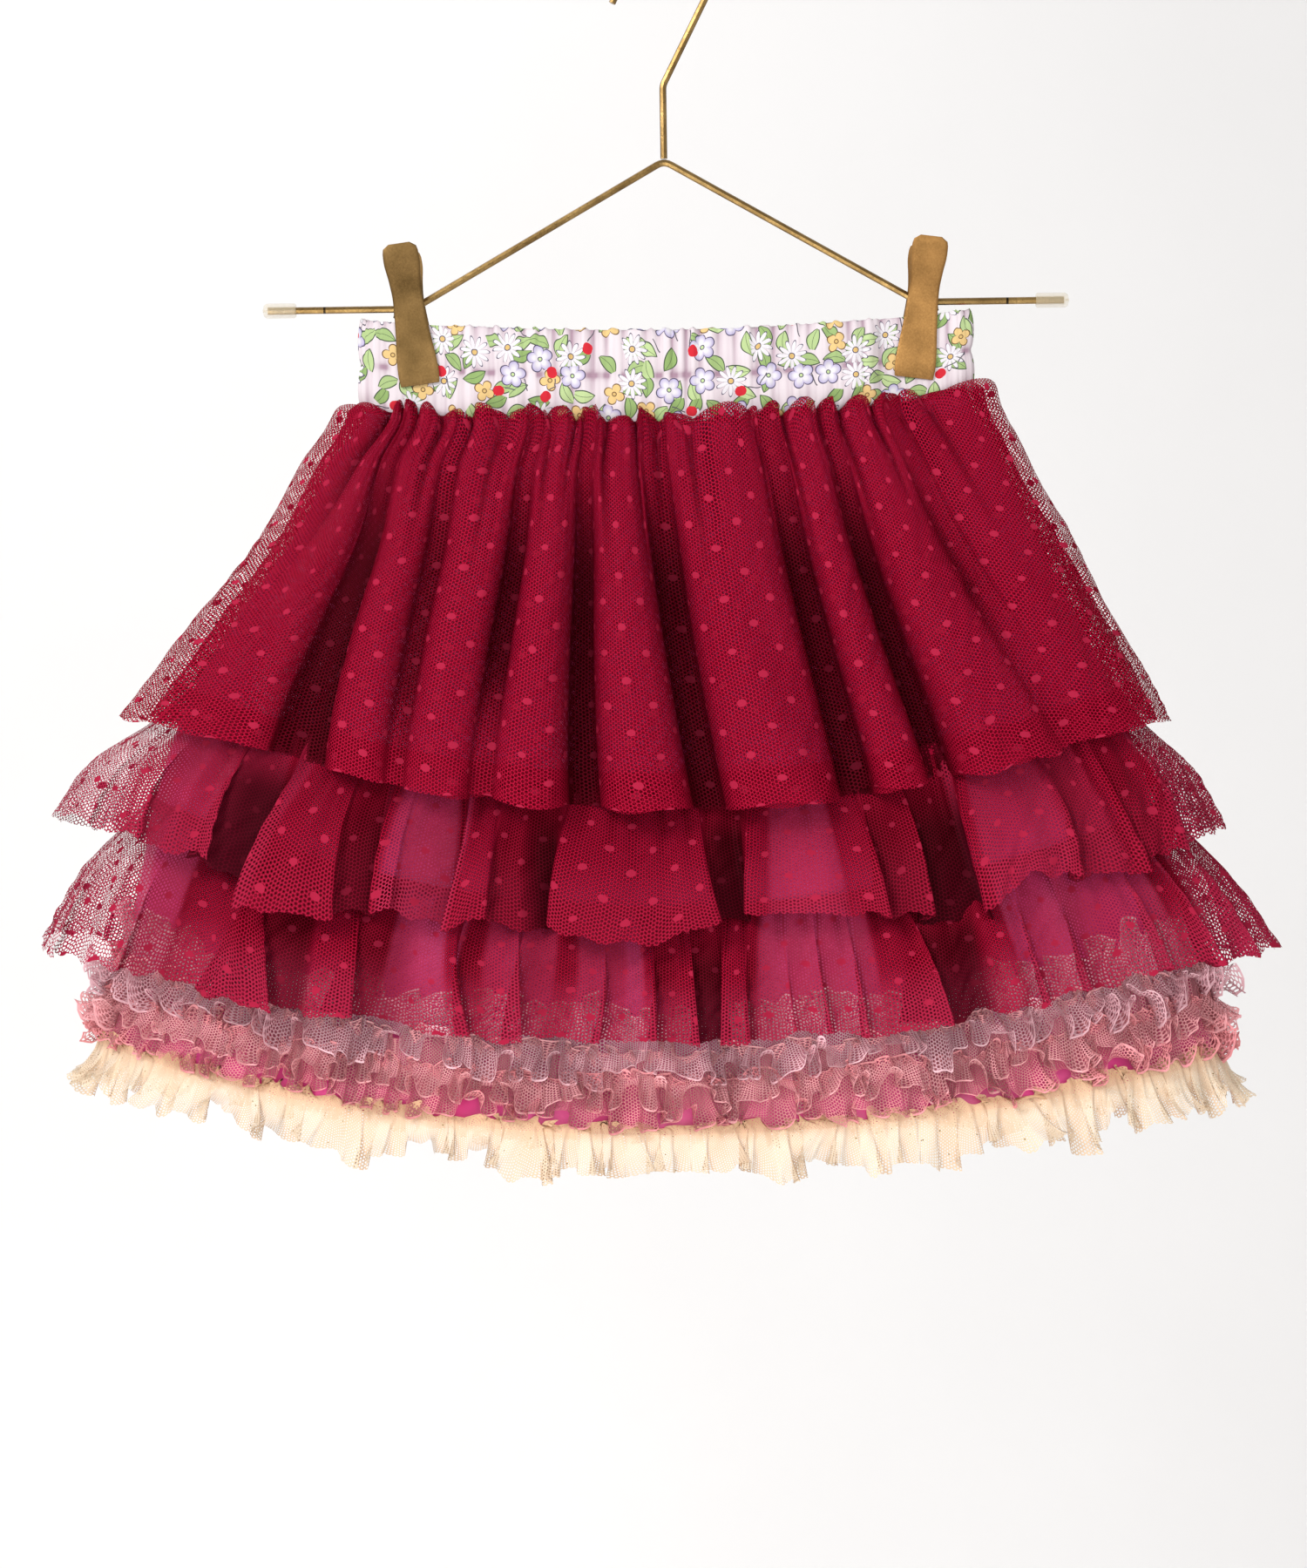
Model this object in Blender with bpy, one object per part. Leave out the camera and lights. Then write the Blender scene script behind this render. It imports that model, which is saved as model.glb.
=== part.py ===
"""A child's layered net tutu, clipped by its waistband to a wire hanger.

X runs to the right, Y to the back and Z up. The origin is the highest point inside the hanger's hook,
where a rail carries it. Sizes are in millimetres, and MM turns them into metres.

Each cloth piece is a wall on one shared form. A place on the form has a level, its height at the front
middle, and a turn, which runs from the left side over the front. A piece lies some way out from the form.
"""

from collections import namedtuple
from math import cos, pi, radians, sin

import bmesh
import bpy
import numpy as np
from mathutils import Vector

MM = 0.001
GAP = 0.3

# Cloth walls
BAND_WALL = 2.2
NET_WALL = 1.6
BASE_WALL = 1.2
RUFFLE_WALL = 1.3

# Levels of the seams and hems
BAND_TOP = -136.0
BAND_SEAM = -167.5
OVERSKIRT_HEM = -300.0
UPPER_SEAM = -288.0
UPPER_HEM = -340.0
LOWER_SEAM = -332.0
LOWER_HEM = -376.0
BASE_HEM = -407.0
HEM_RUFFLE_SEAM = -402.0
HEM_RUFFLE_EDGE = -421.0

# Hanger
WIRE = 1.2
HOOK_RADIUS = 16.2
HOOK_START = -24.0
HOOK_END = 196.0
HOOK_POINTS = 22
HOOK_TIP = Vector((-1.5, 0.0, -3.0))
STEM_BEND = -51.0
STEM_BEND_RADIUS = 6.0
APEX = -77.0
STUB = -126.8
ARM_BEND = 87.0
ARM_BEND_RADIUS = 5.0
STUB_END = 137.0
CAP_LENGTH = 11.5
CAP_RADIUS = 2.6
CAP_END_WALL = 1.5
CAP_CHAMFER = 0.5
CAP_ROUND = 1.4
PIN_HOLE = 0.4
SPRING_RADIUS = 3.2
SPRING_LENGTH = 5.0
SPRING_PLACE = 94.0
SIDES = 12

# Clips
CLIP_TOP = Vector((91.0, 0.0, -105.5))
CLIP_FOOT = Vector((84.7, 0.0, -153.3))

Form = namedtuple("Form", "level left right front back")
# Half widths and half depths of the form that the cloth follows
FORM = (
    Form(-130.0, 105.5, 105.0, 9.0, 9.0),
    Form(-168.0, 106.0, 105.0, 9.0, 9.0),
    Form(-185.0, 116.0, 112.0, 12.0, 11.5),
    Form(-215.0, 128.0, 122.0, 18.0, 17.0),
    Form(-250.0, 146.0, 136.0, 27.0, 25.0),
    Form(-288.0, 164.0, 152.0, 37.0, 35.0),
    Form(-332.0, 177.0, 166.0, 48.0, 45.5),
    Form(-366.0, 185.5, 175.5, 54.5, 51.5),
    Form(-407.0, 197.0, 186.0, 59.0, 56.0),
    Form(-425.0, 202.0, 190.6, 61.0, 58.0),
)
BLUNT = 0.8

# Where the clips press the band: a share of its half width, and the level where the press ends
GRIP_PLACE = 0.815
GRIP_WIDTH = 0.135
GRIP_FOOT = -163.0
GRIP_DEPTH = 2.9

CLIP_PLATE = 1.0
CLIP_COLUMNS = 4
CLIP_BOW = 0.35
JAW = GRIP_DEPTH + GAP + CLIP_PLATE
PIVOT = SPRING_RADIUS + GAP + CLIP_PLATE

Plate = namedtuple("Plate", "down half away bow")
# A clip's plate: the share down it, its half width there, the distance of its outer face from the middle
# plane, and the share of its bow
PLATE = (
    Plate(0.00, 3.6, 10.5, 0.0),
    Plate(0.04, 6.0, 10.2, 1.0),
    Plate(0.12, 6.2, 9.2, 1.0),
    Plate(0.25, 5.5, 7.0, 1.0),
    Plate(0.36, 5.15, PIVOT + 0.6, 1.0),
    Plate(0.45, 5.3, PIVOT, 0.5),
    Plate(0.60, 5.8, JAW + 0.4, 0.3),
    Plate(0.92, 7.0, JAW + 0.4, 0.0),
    Plate(1.00, 6.6, JAW + 0.4, 0.0),
)

Lift = namedtuple("Lift", "level left right")
# How far the sides hang above the front middle
LIFTS = (
    Lift(-130.0, 5.5, 5.5),
    Lift(-168.0, 6.0, 10.0),
    Lift(-288.0, 31.5, 27.0),
    Lift(-332.0, 39.0, 31.0),
    Lift(-366.0, 33.5, 28.0),
    Lift(-407.0, 30.0, 20.5),
    Lift(-425.0, 30.0, 17.5),
)

Out = namedtuple("Out", "level left right front back")
# How far each wall's outer face lies out from the form
BASE_OUT = (
    Out(-168.0, -1.9, -1.9, -1.9, -1.9),
    Out(-190.0, 0.0, 0.0, 0.0, 0.0),
    Out(-407.0, 0.0, 0.0, 0.0, 0.0),
)
OVERSKIRT_OUT = (
    Out(-168.0, 0.0, 0.0, 0.0, 0.0),
    Out(-178.0, 8.0, 6.0, 6.0, 6.0),
    Out(-200.0, 9.0, 7.0, 11.0, 10.0),
    Out(-230.0, 10.0, 10.0, 16.0, 15.0),
    Out(-255.0, 12.0, 10.0, 18.0, 17.0),
    Out(-280.0, 14.0, 11.0, 19.0, 18.0),
    Out(-300.0, 19.0, 12.0, 20.0, 19.0),
)
UPPER_OUT = (
    Out(-288.0, 1.9, 1.9, 1.9, 1.9),
    Out(-300.0, 11.0, 6.5, 7.0, 7.0),
    Out(-320.0, 26.0, 15.0, 11.0, 11.0),
    Out(-340.0, 35.0, 19.0, 13.0, 13.0),
)
LOWER_OUT = (
    Out(-332.0, 1.9, 1.9, 1.9, 1.9),
    Out(-340.0, 8.0, 7.0, 4.5, 4.5),
    Out(-355.0, 21.0, 18.0, 9.0, 9.0),
    Out(-376.0, 29.0, 28.0, 13.0, 13.0),
)

Fold = namedtuple("Fold", "side top hem width rise begin end")
# Ridges, and valleys with a rise below 0, of the overskirt. Top and hem are shares of the half width from
# the middle, width is in degrees round the form, and begin and end are shares of the way down.
FRONT, BACK = 1, -1
OVERSKIRT_FOLDS = (
    Fold(FRONT, -0.86, -0.93, 7.0, 3.0, 0.0, 1.0),
    Fold(FRONT, -0.83, -0.67, 5.5, -9.0, 0.1, 1.3),
    Fold(FRONT, -0.73, -0.57, 4.0, 5.0, 0.0, 1.2),
    Fold(FRONT, -0.66, -0.52, 3.0, -6.0, 0.1, 1.0),
    Fold(FRONT, -0.51, -0.46, 5.0, 6.0, 0.0, 1.3),
    Fold(FRONT, -0.41, -0.36, 3.5, -5.5, 0.0, 1.0),
    Fold(FRONT, -0.33, -0.25, 4.2, 5.5, 0.0, 1.3),
    Fold(FRONT, -0.26, -0.14, 3.2, -9.0, 0.1, 1.3),
    Fold(FRONT, -0.18, 0.03, 4.5, 5.5, 0.0, 1.3),
    Fold(FRONT, -0.09, 0.11, 3.0, -7.5, 0.0, 1.1),
    Fold(FRONT, 0.20, 0.25, 6.5, 6.5, 0.0, 1.3),
    Fold(FRONT, 0.34, 0.41, 3.2, -7.0, 0.0, 1.3),
    Fold(FRONT, 0.43, 0.48, 3.0, 4.0, 0.0, 1.3),
    Fold(FRONT, 0.51, 0.55, 3.2, -9.0, 0.0, 1.3),
    Fold(FRONT, 0.62, 0.66, 4.5, 6.0, 0.0, 1.3),
    Fold(FRONT, 0.68, 0.84, 4.5, -7.0, 0.0, 0.8),
    Fold(FRONT, 0.80, 0.92, 7.0, 3.0, 0.1, 1.0),
    Fold(BACK, -0.88, -0.80, 5.0, -7.0, 0.1, 1.3),
    Fold(BACK, -0.68, -0.62, 5.5, 5.5, 0.0, 1.3),
    Fold(BACK, -0.50, -0.48, 3.5, -8.0, 0.1, 1.3),
    Fold(BACK, -0.36, -0.30, 5.0, 6.0, 0.0, 1.3),
    Fold(BACK, -0.20, -0.10, 3.5, -8.5, 0.1, 1.2),
    Fold(BACK, -0.04, 0.06, 5.5, 6.0, 0.0, 1.3),
    Fold(BACK, 0.14, 0.22, 3.2, -7.0, 0.0, 1.2),
    Fold(BACK, 0.30, 0.38, 5.5, 5.5, 0.0, 1.3),
    Fold(BACK, 0.46, 0.54, 3.5, -8.5, 0.1, 1.3),
    Fold(BACK, 0.62, 0.70, 5.0, 5.5, 0.0, 1.3),
    Fold(BACK, 0.82, 0.84, 4.5, -6.5, 0.1, 1.1),
)
# How much lower a fold's ridge hangs at the hem, as a share of its rise
RIDGE_DROP = 0.35

Waves = namedtuple("Waves", "count rise phase")
# Even gathers: how many go round, how far they rise, and where they start, in degrees
BAND_WAVES = Waves(24, 0.45, 0.0)
UPPER_WAVES = Waves(14, 3.6, 40.0)
LOWER_WAVES = Waves(16, 3.8, 10.0)
RUFFLE_WAVES = Waves(24, 3.0, 0.0)
HEM_WAVES = Waves(24, 2.6, 25.0)
UNEVEN = 0.35
COLUMNS = 96
SIDE_COLUMNS = 40.0

Ruffle = namedtuple("Ruffle", "node seam edge out colour")
RUFFLES = (
    Ruffle("ruffle_row_1", -366.0, -387.0, 8.5, (0.78, 0.42, 0.55)),
    Ruffle("ruffle_row_2", -379.0, -397.0, 8.5, (0.70, 0.28, 0.34)),
    Ruffle("ruffle_row_3", -390.0, -406.0, 8.5, (0.60, 0.20, 0.23)),
)
HEM_RUFFLE_OUT = 5.5

Finish = namedtuple("Finish", "colour roughness metallic")
BRASS = Finish((0.42, 0.27, 0.12), 0.38, 1.0)
STEEL = Finish((0.30, 0.26, 0.22), 0.45, 1.0)
CLEAR = Finish((0.85, 0.83, 0.76), 0.2, 0.0)
PRINT = Finish((0.85, 0.66, 0.68), 0.85, 0.0)
CRIMSON = Finish((0.33, 0.008, 0.035), 0.7, 0.0)
SATIN = Finish((0.55, 0.02, 0.18), 0.4, 0.0)
CREAM = Finish((0.93, 0.84, 0.66), 0.8, 0.0)


def clear_scene():
    for old in list(bpy.data.objects):
        bpy.data.objects.remove(old)


def material(name, finish):
    made = bpy.data.materials.new(name)
    made.use_nodes = True
    shader = made.node_tree.nodes["Principled BSDF"]
    shader.inputs["Base Color"].default_value = (*finish.colour, 1.0)
    shader.inputs["Roughness"].default_value = finish.roughness
    shader.inputs["Metallic"].default_value = finish.metallic
    return made


def add_object(name, data, finish):
    data.materials.append(material(name, finish))
    made = bpy.data.objects.new(name, data)
    bpy.context.scene.collection.objects.link(made)
    return made


def add_mesh(name, points, faces, finish, sharp=40.0):
    mesh = bpy.data.meshes.new(name)
    mesh.from_pydata([tuple(p) for p in np.asarray(points) * MM], [], faces)
    shape = bmesh.new()
    shape.from_mesh(mesh)
    bmesh.ops.recalc_face_normals(shape, faces=shape.faces)
    shape.to_mesh(mesh)
    shape.free()
    mesh.shade_smooth()
    mesh.set_sharp_from_angle(angle=radians(sharp))
    return add_object(name, mesh, finish)


def column(rows, name, level):
    """One column of a table at each level."""
    upward = rows[::-1]
    return np.interp(level, [row.level for row in upward], [getattr(row, name) for row in upward])


def by_side(rows, level, turn):
    """The left or right value, and the front or back value, at each place."""
    across = -np.cos(turn)
    side = np.where(across < 0, column(rows, "left", level), column(rows, "right", level))
    deep = np.where(np.sin(turn) > 0, column(rows, "front", level), column(rows, "back", level))
    return side, deep


def out_at(rows, level, turn):
    """How far out a table puts its wall at each place."""
    side, deep = by_side(rows, level, turn)
    share = np.cos(turn) ** 2
    return side * share + deep * (1 - share)


def grip(level, turn):
    """How much the clips press the band at each place, from 0 to 1."""
    from_clip = (np.abs(np.cos(turn)) - GRIP_PLACE) / GRIP_WIDTH
    on_band = 1 / (1 + np.exp((GRIP_FOOT - level) / 1.5))
    return np.exp(-(from_clip**6)) * on_band


def plan(level, turn):
    """The form seen from above."""
    side, deep = by_side(FORM, level, turn)
    pressed = grip(level, turn)
    deep = deep * np.abs(np.sin(turn)) ** BLUNT * (1 - pressed) + GRIP_DEPTH * pressed
    return -np.cos(turn) * side, -np.sign(np.sin(turn)) * deep


def place(level, turn, out):
    """Points that lie out from the form, as an array of X, Y and Z."""
    level, turn, out = np.broadcast_arrays(level, turn, out)
    step = 0.01
    x0, y0 = plan(level, turn - step)
    x1, y1 = plan(level, turn + step)
    x, y = plan(level, turn)
    away = np.stack([y1 - y0, x0 - x1], axis=-1)
    away /= np.linalg.norm(away, axis=-1, keepdims=True)
    lift = np.where(np.cos(turn) > 0, column(LIFTS, "left", level), column(LIFTS, "right", level))
    z = level + lift * np.cos(turn) ** 2
    return np.stack([x + away[..., 0] * out, y + away[..., 1] * out, z], axis=-1)


def wall_turns():
    """The turns of the walls' columns, at even distances but closer where the sides turn."""
    turn = np.linspace(0, 2 * pi, 2000)
    x, y = plan(np.full_like(turn, UPPER_HEM), turn)
    steps = np.hypot(np.diff(x), np.diff(y)) + SIDE_COLUMNS * np.diff(turn)
    along = np.concatenate([[0], np.cumsum(steps)])
    return np.interp(np.arange(COLUMNS) / COLUMNS * along[-1], along, turn)[None, :]


def folds_at(folds, share, turn):
    """How far the listed folds lift a wall, share of the way from its seam to its hem."""
    lift = np.zeros(np.broadcast(share, turn).shape)
    for fold in folds:
        across = fold.top + (fold.hem - fold.top) * share
        middle = fold.side * np.arccos(-across)
        apart = np.degrees(np.angle(np.exp(1j * (turn - middle))))
        grow = np.clip((share - fold.begin) / 0.35, 0, 1) * np.clip((fold.end - share) / 0.3, 0, 1)
        lift += fold.rise * grow * np.exp(-((apart / fold.width) ** 2))
    return lift


def waves_at(waves):
    """How far the gathers lift each column of a wall."""
    along = np.arange(COLUMNS)[None, :] / COLUMNS
    phase = 2 * pi * waves.count * along + radians(waves.phase)
    drift = UNEVEN * np.sin(2 * pi * 3 * along + waves.phase) + UNEVEN * np.sin(2 * pi * 7 * along)
    size = 1 - UNEVEN * 0.5 * (1 + np.sin(2 * pi * 5 * along + waves.count))
    return waves.rise * size * np.sin(phase + 2 * drift)


def add_wall(name, outer, inner, finish):
    """A closed wall between two grids of points, each a row for each level, from the top."""
    rows, count = outer.shape[:2]
    points = np.concatenate([outer.reshape(-1, 3), inner.reshape(-1, 3)])
    behind = rows * count
    faces = []
    for k in range(count):
        after = (k + 1) % count
        for r in range(rows - 1):
            a, b = r * count + k, r * count + after
            c, d = b + count, a + count
            faces.append((a, d, c, b))
            faces.append((a + behind, b + behind, c + behind, d + behind))
        foot, foot_after = (rows - 1) * count + k, (rows - 1) * count + after
        faces.append((k, after, after + behind, k + behind))
        faces.append((foot, foot + behind, foot_after + behind, foot_after))
    return add_mesh(name, points, faces, finish)


def cloth(name, rows, levels, wall, finish, lift=None):
    """A wall of cloth between its levels. Lift adds folds, from the share down and the turns."""
    turn = wall_turns()
    level = np.asarray(levels, float)[:, None]
    share = (levels[0] - level) / (levels[0] - levels[-1])
    out = out_at(rows, level, turn)
    if lift:
        rise = lift(share, turn)
        out = out + rise
        level = level - RIDGE_DROP * rise * share**3
    return add_wall(name, place(level, turn, out), place(level, turn, out - wall), finish)


def waistband():
    turn = wall_turns()
    share = np.array([0.0, 0.25, 0.5, 0.75, 1.0])[:, None]
    level = BAND_TOP + (BAND_SEAM + GAP - BAND_TOP) * share
    puff = 0.7 * np.abs(np.sin(2 * pi * share)) - 0.4
    out = (puff + waves_at(BAND_WAVES) * np.abs(np.cos(2 * pi * share))) * (1 - grip(level, turn))
    inside = np.full_like(out, -BAND_WALL - 0.2)
    return add_wall("waistband", place(level, turn, out), place(level, turn, inside), PRINT)


def overskirt():
    levels = (BAND_SEAM, -176.0, -192.0, -220.0, -248.0, -275.0, OVERSKIRT_HEM)

    def lift(share, turn):
        return folds_at(OVERSKIRT_FOLDS, share, turn) * (0.35 + 0.65 * share)

    return cloth("overskirt", OVERSKIRT_OUT, levels, NET_WALL, CRIMSON, lift)


def base_skirt():
    levels = (BAND_SEAM, -185.0, -215.0, -250.0, UPPER_SEAM, LOWER_SEAM, -366.0, BASE_HEM)
    return cloth("base_skirt", BASE_OUT, levels, BASE_WALL, SATIN)


def gathered(name, rows, levels, waves, wall, finish):
    """A strip that is flat at its seam and waves at its edge."""

    def lift(share, turn):
        return waves_at(waves) * share

    return cloth(name, rows, levels, wall, finish, lift)


def ruffle(name, seam, edge, out, waves, colour):
    """A narrow gathered strip that stands out from its seam on the base skirt."""
    seat = GAP + RUFFLE_WALL
    rows = (Out(seam, seat, seat, seat, seat), Out(edge, out, out, out, out))
    return gathered(name, rows, (seam, edge), waves, RUFFLE_WALL, Finish(colour, 0.8, 0.0))


def rounded(points, radius, steps=5):
    """A path with its inner corners rounded."""
    path = [points[0]]
    for before, corner, after in zip(points, points[1:], points[2:]):
        come = (corner - before).normalized()
        go = (after - corner).normalized()
        turn = come.angle(go)
        back = radius * np.tan(turn / 2)
        start = corner - come * back
        finish = corner + go * back
        for k in range(steps + 1):
            t = k / steps
            path.append(start.lerp(corner, t).lerp(corner.lerp(finish, t), t))
    return path + [points[-1]]


def add_wire(name, path, radius, finish):
    data = bpy.data.curves.new(name, "CURVE")
    data.dimensions = "3D"
    data.bevel_depth = radius * MM
    data.bevel_resolution = 2
    data.use_fill_caps = True
    spline = data.splines.new("POLY")
    spline.points.add(len(path) - 1)
    for point, at in zip(spline.points, path):
        point.co = (*(at * MM), 1.0)
    return add_object(name, data, finish)


def arms_path():
    """One bent wire: a stub, an arm, the bend under the stem, an arm and a stub."""
    corners = [
        Vector((-STUB_END, 0.0, STUB)),
        Vector((-ARM_BEND, 0.0, STUB)),
        Vector((0.0, 0.0, APEX)),
        Vector((ARM_BEND, 0.0, STUB)),
        Vector((STUB_END, 0.0, STUB)),
    ]
    return rounded(corners, ARM_BEND_RADIUS)


def hook():
    """The round hook and its stem, which stands on the arms' bend."""
    middle = Vector((0.0, 0.0, WIRE - HOOK_RADIUS))
    ring = [
        middle + HOOK_RADIUS * Vector((cos(radians(a)), 0.0, sin(radians(a))))
        for a in np.linspace(HOOK_START, HOOK_END, HOOK_POINTS)
    ]
    crown = max(point.z for point in arms_path())
    foot = Vector((0.0, 0.0, crown + WIRE + GAP))
    bend = Vector((0.0, 0.0, STEM_BEND))
    stem = rounded([foot, bend, ring[0]], STEM_BEND_RADIUS)
    return add_wire("hanger_hook", stem[:-1] + ring + [ring[-1] + HOOK_TIP], WIRE, BRASS)


def turned(name, profile, finish):
    """A closed profile of distance along X and radius, turned round the stubs' line."""
    count = len(profile)
    points = []
    for k in range(SIDES):
        angle = 2 * pi * k / SIDES
        for x, radius in profile:
            points.append((x, radius * cos(angle), STUB + radius * sin(angle)))
    faces = []
    for k in range(SIDES):
        after = (k + 1) % SIDES
        for p in range(count):
            q = (p + 1) % count
            faces.append((k * count + p, k * count + q, after * count + q, after * count + p))
    return add_mesh(name, points, faces, finish)


def end_cap(side, name):
    """A clear sleeve with a round end and a blind bore, in which the stub's end sits."""
    bore = WIRE + GAP
    end = STUB_END + CAP_END_WALL + GAP
    start = end - CAP_LENGTH
    profile = [
        (start, bore),
        (start, CAP_RADIUS - CAP_CHAMFER),
        (start + CAP_CHAMFER, CAP_RADIUS),
        (end - CAP_ROUND, CAP_RADIUS),
        (end - CAP_ROUND * 0.3, CAP_RADIUS * 0.75),
        (end, PIN_HOLE),
        (end - CAP_END_WALL, PIN_HOLE),
        (end - CAP_END_WALL, bore),
    ]
    return turned(f"end_cap_{name}", [(side * x, r) for x, r in profile], CLEAR)


def spring(side, name):
    """The spring's outer shape, a sleeve round the stub behind the clip."""
    near = SPRING_PLACE - SPRING_LENGTH
    far = SPRING_PLACE
    bore = WIRE + GAP
    profile = [(near, bore), (near, SPRING_RADIUS), (far, SPRING_RADIUS), (far, bore)]
    return turned(f"clip_{name}_spring", [(side * x, r) for x, r in profile], STEEL)


def clip_plate(side, name, face):
    """An hourglass plate on one face of the band, face is -1 for the front and 1 for the back."""
    top = Vector((side * CLIP_TOP.x, 0.0, CLIP_TOP.z))
    foot = Vector((side * CLIP_FOOT.x, 0.0, CLIP_FOOT.z))
    down = (foot - top).normalized()
    across = Vector((down.z, 0.0, -down.x))
    grids = []
    for depth in (CLIP_PLATE, 0.0):
        rows = []
        for row in PLATE:
            middle = top.lerp(foot, row.down)
            row_points = []
            for k in range(CLIP_COLUMNS + 1):
                share = 2 * k / CLIP_COLUMNS - 1
                bow = CLIP_BOW * row.bow * (1 - share * share)
                point = middle + across * (share * row.half)
                point.y = face * (row.away + bow + depth - CLIP_PLATE)
                row_points.append(point)
            rows.append(row_points)
        grids.append(rows)
    return add_slab(f"clip_{name}_{'front' if face < 0 else 'back'}", *grids)


def add_slab(name, over, under):
    """A closed slab between two grids of points."""
    rows, columns = len(over), len(over[0])
    points = [p for grid in (over, under) for row in grid for p in row]
    behind = rows * columns
    faces = []
    for r in range(rows - 1):
        for c in range(columns - 1):
            a = r * columns + c
            quad = (a, a + 1, a + columns + 1, a + columns)
            faces.append(quad)
            faces.append(tuple(q + behind for q in reversed(quad)))
    rim = [c for c in range(columns)]
    rim += [r * columns + columns - 1 for r in range(1, rows)]
    rim += [(rows - 1) * columns + c for c in range(columns - 2, -1, -1)]
    rim += [r * columns for r in range(rows - 2, 0, -1)]
    for a, b in zip(rim, rim[1:] + rim[:1]):
        faces.append((b, a, a + behind, b + behind))
    return add_mesh(name, points, faces, BRASS)


def hanger():
    hook()
    add_wire("hanger_arms", arms_path(), WIRE, BRASS)
    for side, name in ((-1, "left"), (1, "right")):
        end_cap(side, name)
        spring(side, name)
        clip_plate(side, name, -1)
        clip_plate(side, name, 1)


def garment():
    waistband()
    base_skirt()
    overskirt()
    upper = (UPPER_SEAM, -300.0, -320.0, UPPER_HEM)
    lower = (LOWER_SEAM, -340.0, -355.0, LOWER_HEM)
    gathered("flounce_upper", UPPER_OUT, upper, UPPER_WAVES, NET_WALL, CRIMSON)
    gathered("flounce_lower", LOWER_OUT, lower, LOWER_WAVES, NET_WALL, CRIMSON)
    for row in RUFFLES:
        ruffle(row.node, row.seam, row.edge, row.out, RUFFLE_WAVES, row.colour)
    ruffle("hem_ruffle", HEM_RUFFLE_SEAM, HEM_RUFFLE_EDGE, HEM_RUFFLE_OUT, HEM_WAVES, CREAM.colour)


clear_scene()
hanger()
garment()
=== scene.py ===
"""The looks of a child's layered net tutu, clipped by its waistband to a wire hanger.

X runs to the right, Y to the back and Z up. Sizes are in millimetres, and MM turns them into metres.
Each piece of cloth follows one shared form. A place on the form has a level, its height at the front
middle, and a turn, which runs from the left side over the front. A piece lies some way out from the form.
"""

from collections import namedtuple
from functools import partial, partialmethod
from math import cos, pi, radians, sin

import bmesh
import bpy
import numpy as np
from mathutils import Matrix, Vector


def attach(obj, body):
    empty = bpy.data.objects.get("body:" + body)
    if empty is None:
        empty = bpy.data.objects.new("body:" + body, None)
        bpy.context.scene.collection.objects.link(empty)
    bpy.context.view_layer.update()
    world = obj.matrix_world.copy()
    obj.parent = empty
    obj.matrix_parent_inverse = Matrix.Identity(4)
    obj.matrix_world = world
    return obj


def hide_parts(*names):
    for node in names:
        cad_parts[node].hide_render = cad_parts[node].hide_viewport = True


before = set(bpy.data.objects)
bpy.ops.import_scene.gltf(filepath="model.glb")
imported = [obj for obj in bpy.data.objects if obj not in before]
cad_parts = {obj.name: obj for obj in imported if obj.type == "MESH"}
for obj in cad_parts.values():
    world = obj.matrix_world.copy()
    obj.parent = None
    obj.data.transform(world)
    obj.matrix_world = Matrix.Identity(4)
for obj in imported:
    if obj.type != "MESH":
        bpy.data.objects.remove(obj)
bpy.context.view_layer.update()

MM = 0.001
# The room between parts that touch
GAP = 0.3
# The two pieces that others rest on
SKIRT = "base_skirt_satin"
BAND = "waistband_print"


def table(kind, *rows):
    return tuple(kind(*row) for row in rows)


# The photograph's view: its size in pixels, the millimetres in a pixel at the middle plane, and the place
# on that plane that its centre shows
PHOTO_WIDTH = 1500
PHOTO_HEIGHT = 1800
PIXEL = 0.30
VIEW_DISTANCE = 1300.0
VIEW_CENTRE = Vector((-6.6, 0.0, -291.5))
VIEW_ROLL = 0.0141

# Levels of the seams and hems
BAND_TOP = -136.0
BAND_SEAM = -167.5
OVERSKIRT_HEM = -300.0
UPPER_SEAM = -288.0
UPPER_HEM = -340.0
LOWER_SEAM = -332.0
LOWER_HEM = -376.0
BASE_HEM = -407.0

Form = namedtuple("Form", "level left right front back")
# Half widths and half depths of the form that the cloth follows
FORM = table(
    Form,
    (-130, 105.5, 105, 9, 9), (-168, 106, 105, 9, 9),
    (-185, 116, 112, 12, 11.5), (-215, 128, 122, 18, 17),
    (-250, 146, 136, 27, 25), (-288, 164, 152, 37, 35),
    (-332, 177, 166, 48, 45.5), (-366, 185.5, 175.5, 54.5, 51.5),
    (-407, 197, 186, 59, 56), (-425, 202, 190.6, 61, 58),
)
# The power of the sine that the depths follow. The form's ends are blunter than an ellipse's below 1.
BLUNT = 0.8

# Sizes in metres. The nets: the width of their holes, how far these wander from an even lattice, how wide a
# strip's solid edges are, and how far apart and how wide and tall the flocked dots are
CRIMSON_PITCH = 0.00118
UNDER_PITCH = 0.00085
STRIP_PITCH = 0.00092
CREAM_PITCH = 0.0008
NET_DRIFT = 0.002
EDGE_WIDTH = 0.0006
DOT_SPACING = 0.018
DOT_SIZE = (0.0036, 0.0026)
# The print: half the width of its ink lines, how far apart leaves, flowers and buds are, and half a leaf
INK_WIDTH = 0.00020
LEAF_SPACING = 0.0078
FLOWER_SPACING = 0.0112
BUD_SPACING = 0.0175
LEAF_SIZE = (0.0042, 0.0021)
# How far out the dark rings on the hanger's stubs lie
STUB_RING = 0.1175

# The curled crease at the overskirt's right: where it starts, how long it is and how far it drops
LIP_START = 0.62
LIP_LENGTH = 0.17
LIP_LEVEL = -226.0
LIP_DROP = 9.0

Lift = namedtuple("Lift", "level left right")
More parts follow.
